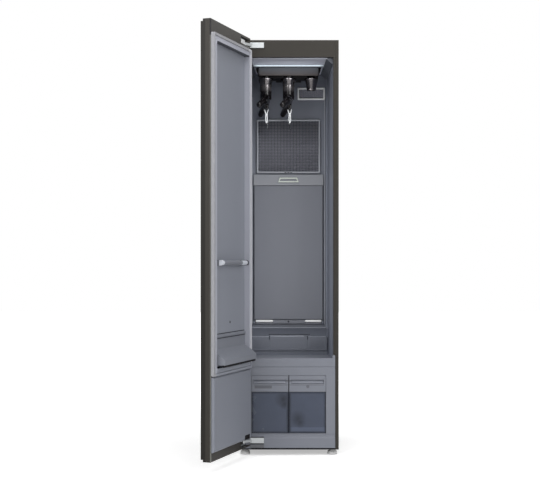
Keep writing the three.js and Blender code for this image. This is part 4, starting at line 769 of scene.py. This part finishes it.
def repainted(piece, finish, where):
    """Gives the faces that pass a test of middle and normal another finish."""
    piece.data.materials.append(finish_of(finish).material)
    for face in piece.data.polygons:
        if where(face.center / MM, face.normal):
            face.material_index = len(piece.data.materials) - 1


def blocks(name, finish, node, *rows, turn=facing, slot=None):
    """A piece of blocks: each has left, right, low, high, back, face and at times an edge."""
    work = bmesh.new()
    for left, right, low, high, back, face, *edge in rows:
        slab(work, left, right, low, high, back, face, turn, *edge)
    return shown(name, work, finish, node)


def rimmed(node, width, corner, finish):
    """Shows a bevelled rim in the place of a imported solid; gives the bounds inside it."""
    low, high = box(node)
    inner = (low.x + width, high.x - width, low.z + width, high.z - width)
    outline = rounded(low.x, high.x, low.z, high.z, corner)
    work = bmesh.new()
    band(work, outline, rounded(*inner, 1.0), -high.y, -low.y, facing)
    eased(work, 0.8)
    replaced(node, work, finish)
    return inner


# Sizes and colours


def sized(name, about, default):
    return bpy.props.FloatProperty(
        name=name, description=about, default=default * MM, unit="LENGTH", precision=4
    )


def coloured(name, about, *default):
    return bpy.props.FloatVectorProperty(
        name=name, description=about, default=default, subtype="COLOR", size=3
    )


class CabinetColours(bpy.types.PropertyGroup):
    """Colours of the finishes."""

    bronze: coloured("Bronze", "Outer steel and door", 0.0325, 0.0295, 0.0255)
    grey: coloured("Grey", "Machine front, floor tray and plate", 0.17, 0.18, 0.21)
    liner: coloured("Liner", "Chamber walls", 0.14, 0.152, 0.185)
    border: coloured("Border", "Door liner's border", 0.34, 0.35, 0.4)
    gasket: coloured("Gasket", "Door seal", 0.28, 0.282, 0.3)
    black: coloured("Black", "Hangers and nozzles", 0.007, 0.006, 0.007)
    brown: coloured("Brown", "Foot of the air supply box's pad", 0.087, 0.076, 0.074)
    # The pad's grey top is painted light from the light bar above
    pad: coloured("Pad", "Top of the air supply box's pad", 0.15, 0.165, 0.19)
    pale: coloured("Pale", "Ring handle", 0.6, 0.64, 0.58)
    filter: coloured("Filter", "Air filter's rim", 0.37, 0.385, 0.42)
    smoke: coloured("Smoke", "Water tanks", 0.054, 0.065, 0.096)
    recess: coloured("Recess", "Floor of the door's liner", 0.21, 0.222, 0.256)
    plate: coloured("Plate", "Care plate's board", 0.146, 0.154, 0.18)
    plate_head: coloured("Plate head", "Care plate's head", 0.232, 0.241, 0.265)
    white: coloured("White", "Ends of the care plate's bar", 0.86, 0.86, 0.86)
    vent: coloured("Vent", "Vent's rim", 0.88, 0.89, 0.9)
    housing: coloured("Housing", "Light bar's housing", 0.07, 0.075, 0.085)
    shadow: coloured("Shadow", "Gaps and grooves", 0.03, 0.032, 0.038)
    # A painted highlight for the back wall's ribs and the outlet's edges
    edge_light: coloured("Light edge", "Outlet's edges", 0.3, 0.315, 0.36)
    rod: coloured("Rod", "Accessory rod's coating", 0.17, 0.178, 0.203)
    bracket: coloured("Bracket", "Accessory rod's collars", 0.56, 0.58, 0.63)
    media: coloured("Media", "Filter paper", 0.34, 0.345, 0.4)
    net: coloured("Net", "Filter net", 0.042, 0.044, 0.052)
    foot: coloured("Foot", "Levelling feet", 0.6, 0.6, 0.6)
    trim: coloured("Trim", "Strip along the door frame's free edge", 0.15, 0.15, 0.135)
    # The sleeve colour is a painted highlight on the necks
    sleeve: coloured("Sleeve", "Top of the nozzles' necks", 0.2, 0.188, 0.194)
    light: coloured("Light", "Chamber light", 0.8, 0.92, 1.0)
    chrome: coloured("Chrome", "Hangers' clips", 0.4, 0.41, 0.42)
    steel: coloured("Steel", "Hinges and pins", 0.52, 0.54, 0.55)
    dull_steel: coloured("Dull steel", "Foot of the lower hinge plate", 0.15, 0.155, 0.165)
    zinc: coloured("Zinc", "Back sheet", 0.32, 0.33, 0.34)
    casting: coloured("Casting", "Base pan and compressor", 0.014, 0.015, 0.017)
    aluminium: coloured("Aluminium", "Heat exchanger's fins", 0.45, 0.47, 0.49)
    copper: coloured("Copper", "Dull copper", 0.4, 0.14, 0.05)
    pump: coloured("Pump", "White mouldings behind the front", 0.68, 0.7, 0.71)
    glass: coloured("Glass", "Door's outer glass", 0.02, 0.019, 0.018)


class CabinetSizes(bpy.types.PropertyGroup):
    """Sizes of the dressing."""

    panel_edge: sized("Panel edge", "Rounding of the outer sheets", 0.6)
    plastic_edge: sized("Plastic edge", "Rounding of the moulded pieces", 0.7)
    small_edge: sized("Small edge", "Rounding of the thin pieces", 0.3)
    seal_edge: sized("Seal edge", "Rounding of the door's seal", 2.6)
    screw_radius: sized("Screw radius", "Radius of a screw head", 3.6)
    screw_height: sized("Screw height", "Height of a screw head", 0.7)
    net_pitch: sized("Net pitch", "Distance between the filter net's bars", 7.2)
    net_bar: sized("Net bar", "Width of the filter net's bars", 1.6)
    frame_width: sized("Frame width", "Rim of the air filter", 8.0)
    vent_width: sized("Vent width", "Rim of the vent", 8.0)


def size(name):
    """One of the sizes, in millimetres."""
    return getattr(bpy.context.scene.cabinet_sizes, name) / MM


# Steps


class DressShell(bpy.types.Operator):
    """Outer steel: side panels, top, back, header band, stiles and base pan"""

    bl_idname = "cabinet.dress_shell"
    bl_label = "Shell"

    def execute(self, context):
        for node in ("side_panel_left", "side_panel_right", "top_panel", "header_band"):
            softened(node, size("panel_edge"))
        for node in ("stile_left", "stile_right"):
            softened(node, size("panel_edge"))
        pan = softened("base_pan", size("small_edge"), segments=1)
        lip = box("base_pan")[0].y + 1.0
        repainted(pan, "black_matt", lambda middle, normal: middle.y < lip)
        self.back()
        return {"FINISHED"}

    def back(self):
        """Back sheet, set in by the height of the screw heads along its sides."""
        low, high = box("back_panel")
        radius, height = size("screw_radius"), size("screw_height")
        face = high.y - height
        work = packed("back_panel")
        for vert in work.verts:
            if vert.co.y > face * MM:
                vert.co.y -= height * MM
        replaced("back_panel", work)
        work = bmesh.new()
        inset = 2.2 * radius
        count = 9
        for i in range(count):
            z = low.z + inset + (high.z - low.z - 2 * inset) * i / (count - 1)
            for x in (low.x + inset, high.x - inset):
                screw(work, Vector((x, face, z)), radius, height, front)
        shown("back_screws", work, "steel", "back_panel")


class DressFeet(bpy.types.Operator):
    """Levelling feet"""

    bl_idname = "cabinet.dress_feet"
    bl_label = "Feet"

    # Profile from the floor up, as shares of a foot's radius and of its height
    pad = ((0.0, 0.0), (0.86, 0.0), (0.97, 0.03), (1.0, 0.1), (1.0, 0.3), (0.97, 0.34))
    groove = ((0.91, 0.35), (0.91, 0.39), (0.97, 0.4), (0.97, 0.52), (0.92, 0.57))
    neck = ((0.76, 0.6), (0.72, 0.63), (0.72, 0.82), (0.69, 0.85))
    stem = ((0.3, 0.87), (0.3, 1.0), (0.0, 1.0))

    def execute(self, context):
        for node in sorted(node for node in BODY_OF if node.startswith("foot_")):
            low, high = box(node)
            radius, height = (high.x - low.x) / 2, high.z - low.z
            shares = self.pad + self.groove + self.neck + self.stem
            profile = [(radius * out, height * up) for out, up in shares]
            work = bmesh.new()
            middle = Vector(((low.x + high.x) / 2, (low.y + high.y) / 2, low.z))
            lathe(work, profile, 56, middle)
            replaced(node, work)
        return {"FINISHED"}


class DressChamber(bpy.types.Operator):
    """Chamber walls, ceiling, back wall, floor tray and light"""

    bl_idname = "cabinet.dress_chamber"
    bl_label = "Chamber"

    def execute(self, context):
        edge = size("plastic_edge")
        for node in ("chamber_wall_left", "chamber_back_wall", "floor_tray"):
            softened(node, edge)
        # The right wall takes a lighter copy of the liner: painted light
        softened("chamber_wall_right", edge, "wall_right")
        # The ceiling takes a lightened moulding: painted light
        ceiling = softened("chamber_ceiling", edge, "ceiling")
        end = box("chamber_ceiling")[1].x - 24.0
        # Its ends and the faces beyond them: painted shade
        repainted(
            ceiling,
            "ceiling_end",
            lambda middle, normal: abs(normal.x) > 0.3 or middle.x > end,
        )
        self.guides()
        bar = softened("light_bar", size("small_edge"))
        repainted(bar, "lamp_housing", lambda middle, normal: normal.y > -0.9)
        return {"FINISHED"}

    def guides(self):
        """Slender ribs up the back wall, beside the plate and the filter, pale as a painted highlight."""
        vent_low, vent_high = box("vent_grille")
        level, top = -vent_high.y, vent_low.z + 14.0
        low, high = box("care_plate")
        rows = [
            (left, left + 4.0, low.z, top, level, level + 5.0, 1.0)
            for left in (low.x - 7.5, high.x + 3.5)
        ]
        blocks("back_wall_guides", "edge_light", "chamber_back_wall", *rows)


class DressAir(bpy.types.Operator):
    """Air supply box, nozzles, vent, filter and steam outlet"""

    bl_idname = "cabinet.dress_air"
    bl_label = "Air supply"

    # The free nozzle's profile from its top down: neck, collar, joint line, cone, ring and bore
    collar = ((0.0, 70.0), (24.4, 70.0), (24.4, 57.0), (30.0, 55.2), (30.8, 52.0))
    joint = ((29.7, 45.2), (28.6, 44.8), (28.6, 43.6), (29.3, 43.2))
    cone = ((26.6, 33.0), (23.8, 20.0), (21.9, 7.4))
    end = ((20.6, 7.0), (20.6, 6.2), (21.9, 5.6), (21.9, 1.0), (20.9, 0.0), (17.6, 0.0))
    bore = ((17.0, 28.0), (0.0, 30.0))

    def execute(self, context):
        for node in ("nozzle_left", "nozzle_middle"):
            softened(node, size("small_edge"))
        self.supply()
        low, high = box("nozzle_right")
        work = bmesh.new()
        middle = Vector(((low.x + high.x) / 2, (low.y + high.y) / 2, low.z))
        profile = self.collar + self.joint + self.cone + self.end + self.bore
        lathe(work, profile, 64, middle)
        replaced("nozzle_right", work, "neck")
        self.vent()
        self.filter()
        self.outlet()
        self.outlet_lines()
        self.skirt()
        return {"FINISHED"}

    def supply(self):
        """Air supply box: black, with a brown pad along its front."""
        node = "air_manifold"
        softened(node, size("plastic_edge"), "black_matt")
        low, high = box(node)
        pad = (low.x + 12.0, high.x - 12.0, low.z + 9.0, high.z - 5.0)
        blocks(node + "_pad", "brown_plastic", node, (*pad, -low.y - 4.0, -low.y + 3.0, 4.0))

    def vent(self):
        """Vent: a bright rim round a fine grille, with painted shade behind it."""
        node = "vent_grille"
        floor = -box(node)[1].y
        left, right, bottom, top = rimmed(node, size("vent_width"), 3.0, "vent_rim")
        blocks("vent_depth", "shadow", node, (left, right, bottom, top, floor, floor + 0.8))
        work = bmesh.new()
        lattice(work, left + 3.0, right, bottom + 3.0, top, 3.4, 1.5, floor + 3.0)
        shown("vent_net", work, "media", node)

    def filter(self):
        """Air filter: a rim, a dark net, the folded paper behind it and the tab."""
        node = "air_filter"
        low, high = box(node)
        face = -low.y
        inner = rimmed(node, size("frame_width"), 4.0, "filter_plastic")
        left, right, bottom, top = inner
        work = bmesh.new()
        lattice(work, *inner, size("net_pitch"), size("net_bar"), face - 1.5)
        shown("air_filter_net", work, "net", node)
        work = bmesh.new()
        folds = 60
        outline = [(left, high.y), (right, high.y)]
        for i in range(2 * folds + 1):
            depth = 5.0 if i % 2 else 8.0
            outline.append((right + (left - right) * i / (2 * folds), low.y + depth))
        prism(work, outline, bottom, top, upward)
        shown("air_filter_paper", work, "media", node)
        middle = (low.x + high.x) / 2
        rows = [
            (x - 5.0, x + 5.0, low.z + 1.5, low.z + 5.0, face - 1.0, face + 0.5, 0.4)
            for x in (middle - 14.0, middle, middle + 14.0)
        ]
        blocks("air_filter_tab", "shadow", node, *rows)

    def outlet(self):
        """Steam outlet over the floor with its louvres, and the lint filter."""
        node = "steam_outlet"
        for part in (node, "lint_filter"):
            softened(part, size("small_edge"), "outlet")
        low, high = box(node)
        lint_low, lint_high = box("lint_filter")
        face = -low.y
        height = (low.z + 5.0, lint_high.z - 12.0, face - 7.5, face - 1.2)
        left = (low.x + 8.0, lint_low.x - 8.0, *height)
        right = (lint_high.x + 8.0, high.x - 8.0, *height)
        blocks("outlet_louvres", "outlet", node, left, right)

    def outlet_lines(self):
        """Painted highlights on the edges and painted shade in the gaps of the steam outlet and the lint filter.
        """
        node = "steam_outlet"
        low, high = box(node)
        lint_low, lint_high = box("lint_filter")
        face, top = -low.y, lint_high.z
        ledge = (top - 5.5, top - 3.5, face - 3.0, face + 0.4, 0.4)
        rows = (
            (low.x + 4.0, lint_low.x - 6.0, *ledge),
            (lint_high.x + 4.0, high.x - 6.0, *ledge),
            (low.x, high.x, high.z - 3.0, high.z + 1.5, -high.y + 1.0, -high.y + 4.0, 1.0),
        )
        blocks("outlet_edges", "edge_light", node, *rows)
        lint = -lint_low.y
        edge = (lint_low.x + 2.0, lint_high.x - 14.0, top - 4.0, top, lint - 3.0, lint + 0.5, 0.6)
        blocks("lint_filter_edge", "edge_light", "lint_filter", edge)
        # Dark slabs beside and behind the lint filter: painted shade
        slit = (top - 18.0, top - 2.0, face - 3.0, face + 0.2)
        rows = (
            (lint_low.x - 4.0, lint_low.x - 1.0, *slit),
            (lint_high.x + 1.0, lint_high.x + 4.0, *slit),
            (lint_low.x - 6.0, lint_high.x + 14.0, top + 1.0, top + 6.0, face - 30.0, face - 24.0),
        )
        blocks("outlet_gaps", "shadow", node, *rows)

    def skirt(self):
        """Skirt under the steam outlet and beside it."""
        node = "steam_outlet"
        low, high = box(node)
        face, floor = -low.y, low.z - 21.5
        depth = (face - 40.0, face - 8.0)
        rows = (
            (low.x, high.x, floor, low.z, face - 14.0, face - 12.0),
            (low.x - 8.0, low.x + 1.0, floor, high.z, *depth),
            (high.x - 1.0, high.x + 8.0, floor, high.z, *depth),
        )
        blocks("outlet_skirt", "liner_plastic", node, *rows)


class DressPlate(bpy.types.Operator):
    """Care plate and its ring handle"""

    bl_idname = "cabinet.dress_plate"
    bl_label = "Care plate"

    def execute(self, context):
        softened("care_plate_handle", size("small_edge"))
        node = "care_plate"
        low, high = box(node)
        back, face = -high.y, -low.y
        rail = 4.0
        head, foot = high.z - 53.0, low.z + 26.0
        left, right = low.x + rail, high.x - rail
        work = bmesh.new()
        slab(work, left, right, foot, head - 1.0, back, face - 1.2, facing, 1.2)
        replaced(node, work, "plate")
        top = (low.x, high.x, head + 1.0, high.z, back, face, 1.6)
        blocks("care_plate_head", "plate_head", node, top)
        # Rails beside and under the board in a darker liner: painted shade of the gap to the wall
        rows = (
            (low.x, left, low.z, head, back, face - 6.0),
            (right, high.x, low.z, head, back, face - 6.0),
            (left, right, low.z, foot, back, face - 8.0),
        )
        blocks("care_plate_rails", "rail", node, *rows)
        self.bar(node, low, high)
        return {"FINISHED"}

    def bar(self, node, low, high):
        """Bar along the plate's foot: white tapered ends, a grey middle and its stop."""
        radius, taper = 5.8, 9.0
        level, depth = low.z + 16.0, low.y + 4.0
        left, right = low.x + 98.0, high.x - 93.0
        work = bmesh.new()
        for outer, inner, way in ((low.x + 11.0, left, 1.0), (high.x - 10.0, right, -1.0)):
            length = abs(inner - outer)
            profile = (
                (0.0, 0.0),
                (radius * 0.8, 0.0),
                (radius, radius * 0.3),
                (radius, length - taper),
                (radius * 0.35, length),
                (0.0, length),
            )
            place = Vector((outer, depth, level))
            lathe(work, profile, 28, place, lambda u, v, w, way=way: Vector((way * w, u, v)))
        shown("care_plate_caps", work, "white_cap", node)
        back, face = -high.y, -depth
        rows = (
            (left - 4.0, right + 4.0, level - 11.0, level + 5.0, back, face + radius * 0.8, 2.5),
            (low.x + 10.0, high.x - 10.0, low.z + 2.0, low.z + 8.0, back, face + 1.0, 1.0),
        )
        blocks("care_plate_bar", "plate", node, *rows)
        work = bmesh.new()
        middle = Vector(((low.x + high.x) / 2, depth - radius * 0.8, level - 2.0))
        lathe(work, ((0.0, 0.6), (4.0, 0.6), (5.0, 0.0)), 24, middle, facing)
        shown("care_plate_stop", work, "shadow", node)


class DressHangers(bpy.types.Operator):
    """Garment hangers with their clips"""

    bl_idname = "cabinet.dress_hangers"
    bl_label = "Hangers"

    # A neck's profile, down from the swivel's pivot: collar, joint line and sleeve
    collar = ((33.2, -0.2), (34.3, -1.4), (34.3, -8.0), (33.0, -8.6), (33.0, -9.8))
    taper = ((33.6, -10.4), (30.2, -17.0), (27.6, -26.0), (26.7, -36.0))
    sleeve = ((26.5, -60.0), (26.5, -94.0), (25.0, -95.6))
    # A clip cheek's outline, as shares of its reach and of its height over the pin
    grip = ((1.0, 1.0), (0.6, 1.0), (0.2, 0.3), (-0.12, 0.1), (-0.12, -0.25))
    shank = ((0.15, -0.5), (0.15, -1.2), (0.0, -1.7), (0.0, -1.9), (0.26, -1.9))
    outside = ((0.5, -1.3), (0.5, -0.5), (0.42, 0.05), (0.72, 0.45))

    def execute(self, context):
        for hanger in ("hanger_left", "hanger_middle"):
            smoothed(hanger + "_body", "black_plastic")
            work = bmesh.new()
            profile = self.collar + self.taper + self.sleeve
            lathe(work, profile, 64, pivot_of(hanger + "_swivel"))
            shown(hanger + "_neck", work, "neck", hanger + "_body")
            softened(hanger + "_clip_bar", 0.0, "chrome")
            for end in ("front", "back"):
                self.clip(hanger, end)
        return {"FINISHED"}

    def clip(self, hanger, end):
        """A sprung clip: its jaw, and the pin in its coiled spring."""
        jaw = hanger + "_jaw_" + end
        softened(jaw, 0.0, "chrome")
        low, high = box(jaw)
        pivot = pivot_of(hanger + "_" + end + "_clip_hinge")
        if end == "front":
            reach = pivot.x - low.x
            self.cheek(jaw + "_cheek", jaw, jaw, -reach, 0.3)
            self.cheek(hanger + "_arm_front", hanger + "_clip_bar", jaw, 9.7, 1.7)
        axis = Vector((pivot.x, 0.0, pivot.z))
        start, stop, radius = low.y - 3.6, high.y + 3.6, 2.0
        collar = ((radius, start), (radius * 1.4, start + 0.4), (radius, start + 0.8))
        work = bmesh.new()
        lathe(work, ((0.0, start), *collar, (radius, stop), (0.0, stop)), 16, axis, front)
        coil, margin, turns, steps = 3.2, 6.0, 6, 14
        length = high.y - low.y - 2 * margin
        points = []
        for i in range(turns * steps + 1):
            angle = 2 * math.pi * i / steps
            along = low.y + margin + length * i / (turns * steps)
            points.append(axis + front(coil * math.cos(angle), coil * math.sin(angle), along))
        tube(work, points, 0.6)
        shown(hanger + "_pin_" + end, work, "steel", hanger + "_clip_bar")

    def cheek(self, name, node, jaw, reach, lift):
        """A flat cheek before a front clip's jaw; a reach below nothing is to the left."""
        low, high = box(jaw)
        pivot = pivot_of(jaw.replace("_jaw_front", "_front_clip_hinge"))
        height = high.z - pivot.z
        shares = self.grip + self.shank + self.outside
        outline = [(pivot.x + reach * out, pivot.z + height * up) for out, up in shares]
        work = bmesh.new()
        prism(work, outline, low.y - lift - 1.2, low.y - lift, front)
        eased(work, 0.3, 1)
        shown(name, work, "chrome", node)


class DressFront(bpy.types.Operator):
    """Machine front, tank bay and the two water tanks"""

    bl_idname = "cabinet.dress_front"
    bl_label = "Machine front and tanks"

    def execute(self, context):
        edge = size("plastic_edge")
        for node in ("machine_front", "drain_tank_grip", "fresh_tank_grip"):
            softened(node, edge)
        # The tank bay takes a very dark grey: painted shade
        softened("tank_bay", edge, "bay")
        softened("fresh_tank", edge, "smoked_left")
        softened("drain_tank", edge, "smoked_right")
        for node in ("fresh_tank", "drain_tank"):
            self.grip(node)
        self.seams()
        return {"FINISHED"}

    def seams(self):
        """Painted shade in the gap between the tanks, and a painted shadow line along the front's foot."""
        low, high = box("machine_front")
        left, right = box("fresh_tank")[1].x + 0.4, box("drain_tank")[0].x - 0.4
        bottom, top = box("fresh_tank")[0].z, box("fresh_tank_grip")[0].z
        gap = (left, right, bottom, top, -low.y - 5.0, -low.y - 2.9)
        blocks("tank_gap", "tank_gap", "tank_bay", gap)
        line = (-98.0, high.x - 1.0, low.z + 0.2, low.z + 2.0, -low.y - 2.0, -low.y + 0.2)
        blocks("front_foot_line", "black_matt", "machine_front", line)

    def grip(self, node):
        """The finger slot's scooped floor, lightened as painted light; joint lines under it, painted shade over
        the web and the head's printed marks.
        """
        name = node + "_grip"
        low, high = box(name)
        side, top, bottom = 9.4, 336.8, 320.4
        left, right = low.x + side, high.x - side
        steps = ((19.0, top), (10.0, top), (9.4, top - 4.0), (5.0, bottom + 5.0))
        outline = [(low.y + depth, z) for depth, z in steps + ((1.0, bottom), (19.0, bottom))]
        work = bmesh.new()
        prism(work, outline, left, right, across)
        shown(name + "_scoop", work, "scoop", name)
        front_low, front_high = box("machine_front")
        is_left = high.x < (front_low.x + front_high.x) / 2
        web = (right, high.x) if is_left else (low.x, left)
        face = -low.y
        rows = [
            (*sides, *heights, face - 1.0, face + 0.15)
            for sides, heights in (
                ((left, right), (312.8, 315.6)),
                (web, (312.8, 315.6)),
                (web, (top - 7.0, top)),
            )
        ]
        if node == "fresh_tank":
            rows.append((low.x + 13.0, low.x + 90.0, 299.0, 311.0, face - 1.0, face + 0.1))
        work = bmesh.new()
        for row in rows:
            slab(work, *row, facing)
        if node == "drain_tank":
            profile = ((0.0, 0.2), (6.0, 0.2), (7.0, 0.0))
            lathe(work, profile, 28, Vector((153.2, low.y, 307.4)), facing)
        shown(name + "_marks", work, "dull_mark", name)


class DressMachines(bpy.types.Operator):
    """Machines behind the front"""

    bl_idname = "cabinet.dress_machines"
    bl_label = "Machines"

    blower = ("blower_housing", "blower_wheel", "blower_motor")
    machines = ("compressor", "heat_exchanger", *blower, "steam_generator", "water_pump")

    def execute(self, context):
        for node in self.machines:
            softened(node, 0.0)
        return {"FINISHED"}


class DressDoor(bpy.types.Operator):
    """Door: frame, glass, liner, seal, lower panel, flap, rod and hinges"""

    bl_idname = "cabinet.dress_door"
    bl_label = "Door"

    def execute(self, context):
        small = size("small_edge")
        glass = softened("door_glass", small)
        repainted(glass, "glass_edge", lambda middle, normal: from_door(middle)[1] > -43.2)
        softened("door_lower_panel", small, "lower_panel")
        softened("door_frame", small, "door_frame")
        for node in ("hinge_plate_upper", "hinge_leaf_upper", "hinge_leaf_lower"):
            softened(node, small)
        softened("door_gasket", size("seal_edge"), segments=4)
        self.pad()
        self.liner()
        self.flap()
        softened("accessory_rod", small, "rod")
        self.hinges()
        return {"FINISHED"}

    def pad(self):
        """A black pad over the lower hinge, on the lower panel: painted shade of the hinge's pocket."""
        node = "door_lower_panel"
        corners = [from_door(vert.co / MM) for vert in frame["nodes"][node].data.vertices]
        face = max(out for along, out, up in corners)
        foot = min(up for along, out, up in corners)
        row = (40.0, 96.0, foot + 2.0, foot + 21.0, face - 1.0, face + 0.5)
        blocks("hinge_pad", "black_matt", node, row, turn=door_face)

    def liner(self):
        """Liner with a darker floor and painted shade under its top wall, and the small hole in it."""
        liner = softened("door_liner", size("plastic_edge"))
        repainted(liner, "recess", lambda middle, normal: from_door(middle)[1] < -11.0)
        repainted(
            liner, "recess_top", lambda middle, normal: middle.z > 1700.0 and normal.z < -0.6
        )
        # The hole is a shallow dish; its darkness is painted shade
        work = bmesh.new()
        profile = ((0.0, 0.1), (3.5, 0.1), (4.5, 0.6), (5.5, 0.0))
        along, floor, level = 208.0, -12.0, 607.0
        lathe(
            work,
            profile,
            24,
            Vector((0.0, 0.0, 0.0)),
            lambda u, v, w: door_face(along + u, level + v, floor + w),
        )
        shown("door_hole", work, "shadow", "door_liner")

    def flap(self):
        """Drip flap with painted shade in the grooves along its hem and a painted shadow strip under it."""
        node = "drip_flap"
        softened(node, size("small_edge"), "flap")
        low, high = box(node)
        start, stop, floor = 46.0, 414.0, -11.8
        rows = (
            (start, stop, high.z, high.z + 3.5, floor, floor + 0.8),
            (start, stop, high.z - 18.0, high.z - 15.0, floor, floor + 4.2),
        )
        blocks("drip_flap_grooves", "shadow", node, *rows, turn=door_face)
        # A dark strip under the flap: painted shadow
        lip = (start + 4.0, stop - 4.0, low.z - 9.0, low.z, 40.0, 44.0, 1.0)
        blocks("drip_flap_lip", "black_matt", node, lip, turn=door_face)

    def hinges(self):
        """Lower hinge plate with its darker foot and painted shade in its gaps, the upper hinge's cover and the
        screws.
        """
        plate = softened("hinge_plate_lower", size("small_edge"))
        step = 56.0
        repainted(plate, "dull_steel", lambda middle, normal: middle.z < step)
        low, high = box("hinge_plate_lower")
        left, back = -103.0, -high.y
        rows = (
            (left, high.x - 1.0, step - 5.0, step, back, back + 4.0),
            (left, high.x, high.z + 0.3, high.z + 4.0, back - 1.0, back + 0.3),
        )
        blocks("hinge_plate_gap", "shadow", "hinge_plate_lower", *rows)
        bottom, top = 1811.3, 1832.0
        rows = (
            (60.0, 108.0, bottom, top, -14.0, -2.0, 2.0),
            (78.0, 106.0, bottom, top, -32.0, -13.0),
        )
        cover = "hinge_cover_upper"
        blocks(cover, "hinge_cover", "hinge_leaf_upper", *rows, turn=door_face)
        work = bmesh.new()
        for node in ("hinge_plate_upper", "hinge_plate_lower"):
            low, high = box(node)
            for x in (high.x - 12.0, high.x - 40.0):
                screw(work, Vector((x, high.y - 3.0, high.z - 12.0)), 4.0, 1.6, facing)
        shown("hinge_screws", work, "dull_steel", "hinge_plate_upper")


class SetStage(bpy.types.Operator):
    """Pale floor, soft studio light and the camera"""

    bl_idname = "cabinet.set_stage"
    bl_label = "Stage"

    # Name, place, target, width, height and power of each lamp
    lamps = (
        ("left_softbox", (-2.6, -4.4, 2.6), (0.05, 0.0, 0.9), 2.2, 2.2, 90.0),
        ("right_softbox", (2.8, -4.4, 2.6), (0.05, 0.0, 0.9), 2.2, 2.2, 90.0),
        ("top_softbox", (0.1, -1.2, 3.6), (0.05, 0.0, 0.9), 1.6, 1.6, 40.0),
        ("chamber_fill", (0.068, 0.01, 1.0), (0.068, 0.4, 1.0), 0.32, 1.1, 1.15),
        ("neck_light", (0.068, 0.02, 1.725), (0.068, 0.166, 1.69), 0.26, 0.01, 0.06),
        ("strip_light", (0.06, -4.6, 2.95), (0.05, 0.2, 1.7), 0.12, 1.0, 2.0),
    )

    def execute(self, context):
        self.floor(context)
        self.world(context)
        for lamp in self.lamps:
            self.lamp(context, *lamp)
        self.camera(context)
        context.scene.view_settings.view_transform = "Standard"
        return {"FINISHED"}

    def floor(self, context):
        work = bmesh.new()
        bmesh.ops.create_grid(work, x_segments=8, y_segments=8, size=14.0)
        mesh = bpy.data.meshes.new("floor")
        work.to_mesh(mesh)
        work.free()
        ground = bpy.data.objects.new("floor", mesh)
        context.scene.collection.objects.link(ground)
        finish = Finish("pale_floor", Specular_IOR_Level=0.0, Roughness=0.9)
        white = (1.0, 1.0, 1.0, 1.0)
        finish.toned(finish.noise(0.6, 1.0), white, 0.9, 0.93)
        seen = finish.node("ShaderNodeLightPath", take="Is Camera Ray")
        away = (finish.axis("X") ** 2.0 + finish.axis("Y") ** 2.0) ** 0.5
        far = ((away - 700.0) * 0.0008).clamped()
        sockets = {"Color": white, "Strength": seen * (far * 0.5 + 0.45)}
        glow = finish.node("ShaderNodeEmission", None, sockets)
        surface = Wire(finish.tree, finish.shader.outputs[0])
        both = finish.node("ShaderNodeAddShader", None, {0: surface, 1: glow})
        feed(finish.tree, finish.output.inputs["Surface"], both)
        mesh.materials.append(finish.material)

    def world(self, context):
        """A white room that is brighter where the camera or a reflection sees it."""
        world = bpy.data.worlds.new("studio")
        world.use_nodes = True
        context.scene.world = world
        tree = world.node_tree
        tree.nodes.clear()
        out = tree.nodes.new("ShaderNodeOutputWorld")
        light = tree.nodes.new("ShaderNodeBackground")
        path = tree.nodes.new("ShaderNodeLightPath")
        camera, glossy_ray, transmission = (
            Wire(tree, path.outputs[kind])
            for kind in ("Is Camera Ray", "Is Glossy Ray", "Is Transmission Ray")
        )
        seen = (camera + glossy_ray + transmission).least(1.0)
        strength = seen * 0.5 + 0.5
        feed(tree, light.inputs["Strength"], strength)
        feed(tree, light.inputs["Color"], (1.0, 1.0, 1.0, 1.0))
        tree.links.new(light.outputs[0], out.inputs["Surface"])

    def lamp(self, context, name, place, target, width, height, power):
        data = bpy.data.lights.new(name, "AREA")
        data.shape = "RECTANGLE"
        data.size = width
        data.size_y = height
        data.energy = power
        lamp = bpy.data.objects.new(name, data)
        context.scene.collection.objects.link(lamp)
        lamp.location = place
        aim = Vector(target) - Vector(place)
        lamp.rotation_euler = aim.to_track_quat("-Z", "Y").to_euler()

    def camera(self, context):
        """A level camera; its shift is in pixels of the picture's width."""
        picture_width = 540.0
        data = bpy.data.cameras.new("camera")
        data.lens = 73.84
        data.sensor_width = 36.0
        data.shift_x = -15.0 / picture_width
        data.shift_y = 22.0 / picture_width
        camera = bpy.data.objects.new("camera", data)
        context.scene.collection.objects.link(camera)
        camera.location = (0.05175, -4.97615, 0.862)
        camera.rotation_euler = (math.radians(90.0), 0.0, 0.0)
        context.scene.camera = camera


STEPS = (
    DressShell,
    DressFeet,
    DressChamber,
    DressAir,
    DressPlate,
    DressHangers,
    DressFront,
    DressMachines,
    DressDoor,
    SetStage,
)


class CabinetPanel(bpy.types.Panel):
    """Lists the steps, sizes and colours of the cabinet"""

    bl_label = "Clothes care cabinet"
    bl_idname = "VIEW3D_PT_cabinet"
    bl_space_type = "VIEW_3D"
    bl_region_type = "UI"
    bl_category = "Cabinet"

    def draw(self, context):
        column = self.layout.column()
        for step in STEPS:
            column.operator(step.bl_idname)
        for group in (context.scene.cabinet_sizes, context.scene.cabinet_colours):
            for name in group.bl_rna.properties.keys():
                if name not in {"rna_type", "name"}:
                    column.prop(group, name)


KINDS = (CabinetColours, CabinetSizes, *STEPS, CabinetPanel)


def register():
    for kind in KINDS:
        bpy.utils.register_class(kind)
    scene = bpy.types.Scene
    scene.cabinet_colours = bpy.props.PointerProperty(type=CabinetColours)
    scene.cabinet_sizes = bpy.props.PointerProperty(type=CabinetSizes)


def unregister():
    del bpy.types.Scene.cabinet_sizes
    del bpy.types.Scene.cabinet_colours
    for kind in reversed(KINDS):
        bpy.utils.unregister_class(kind)


def main():
    register()
    for step in STEPS:
        area, name = step.bl_idname.split(".")
        getattr(getattr(bpy.ops, area), name)()


if __name__ == "__main__":
    main()
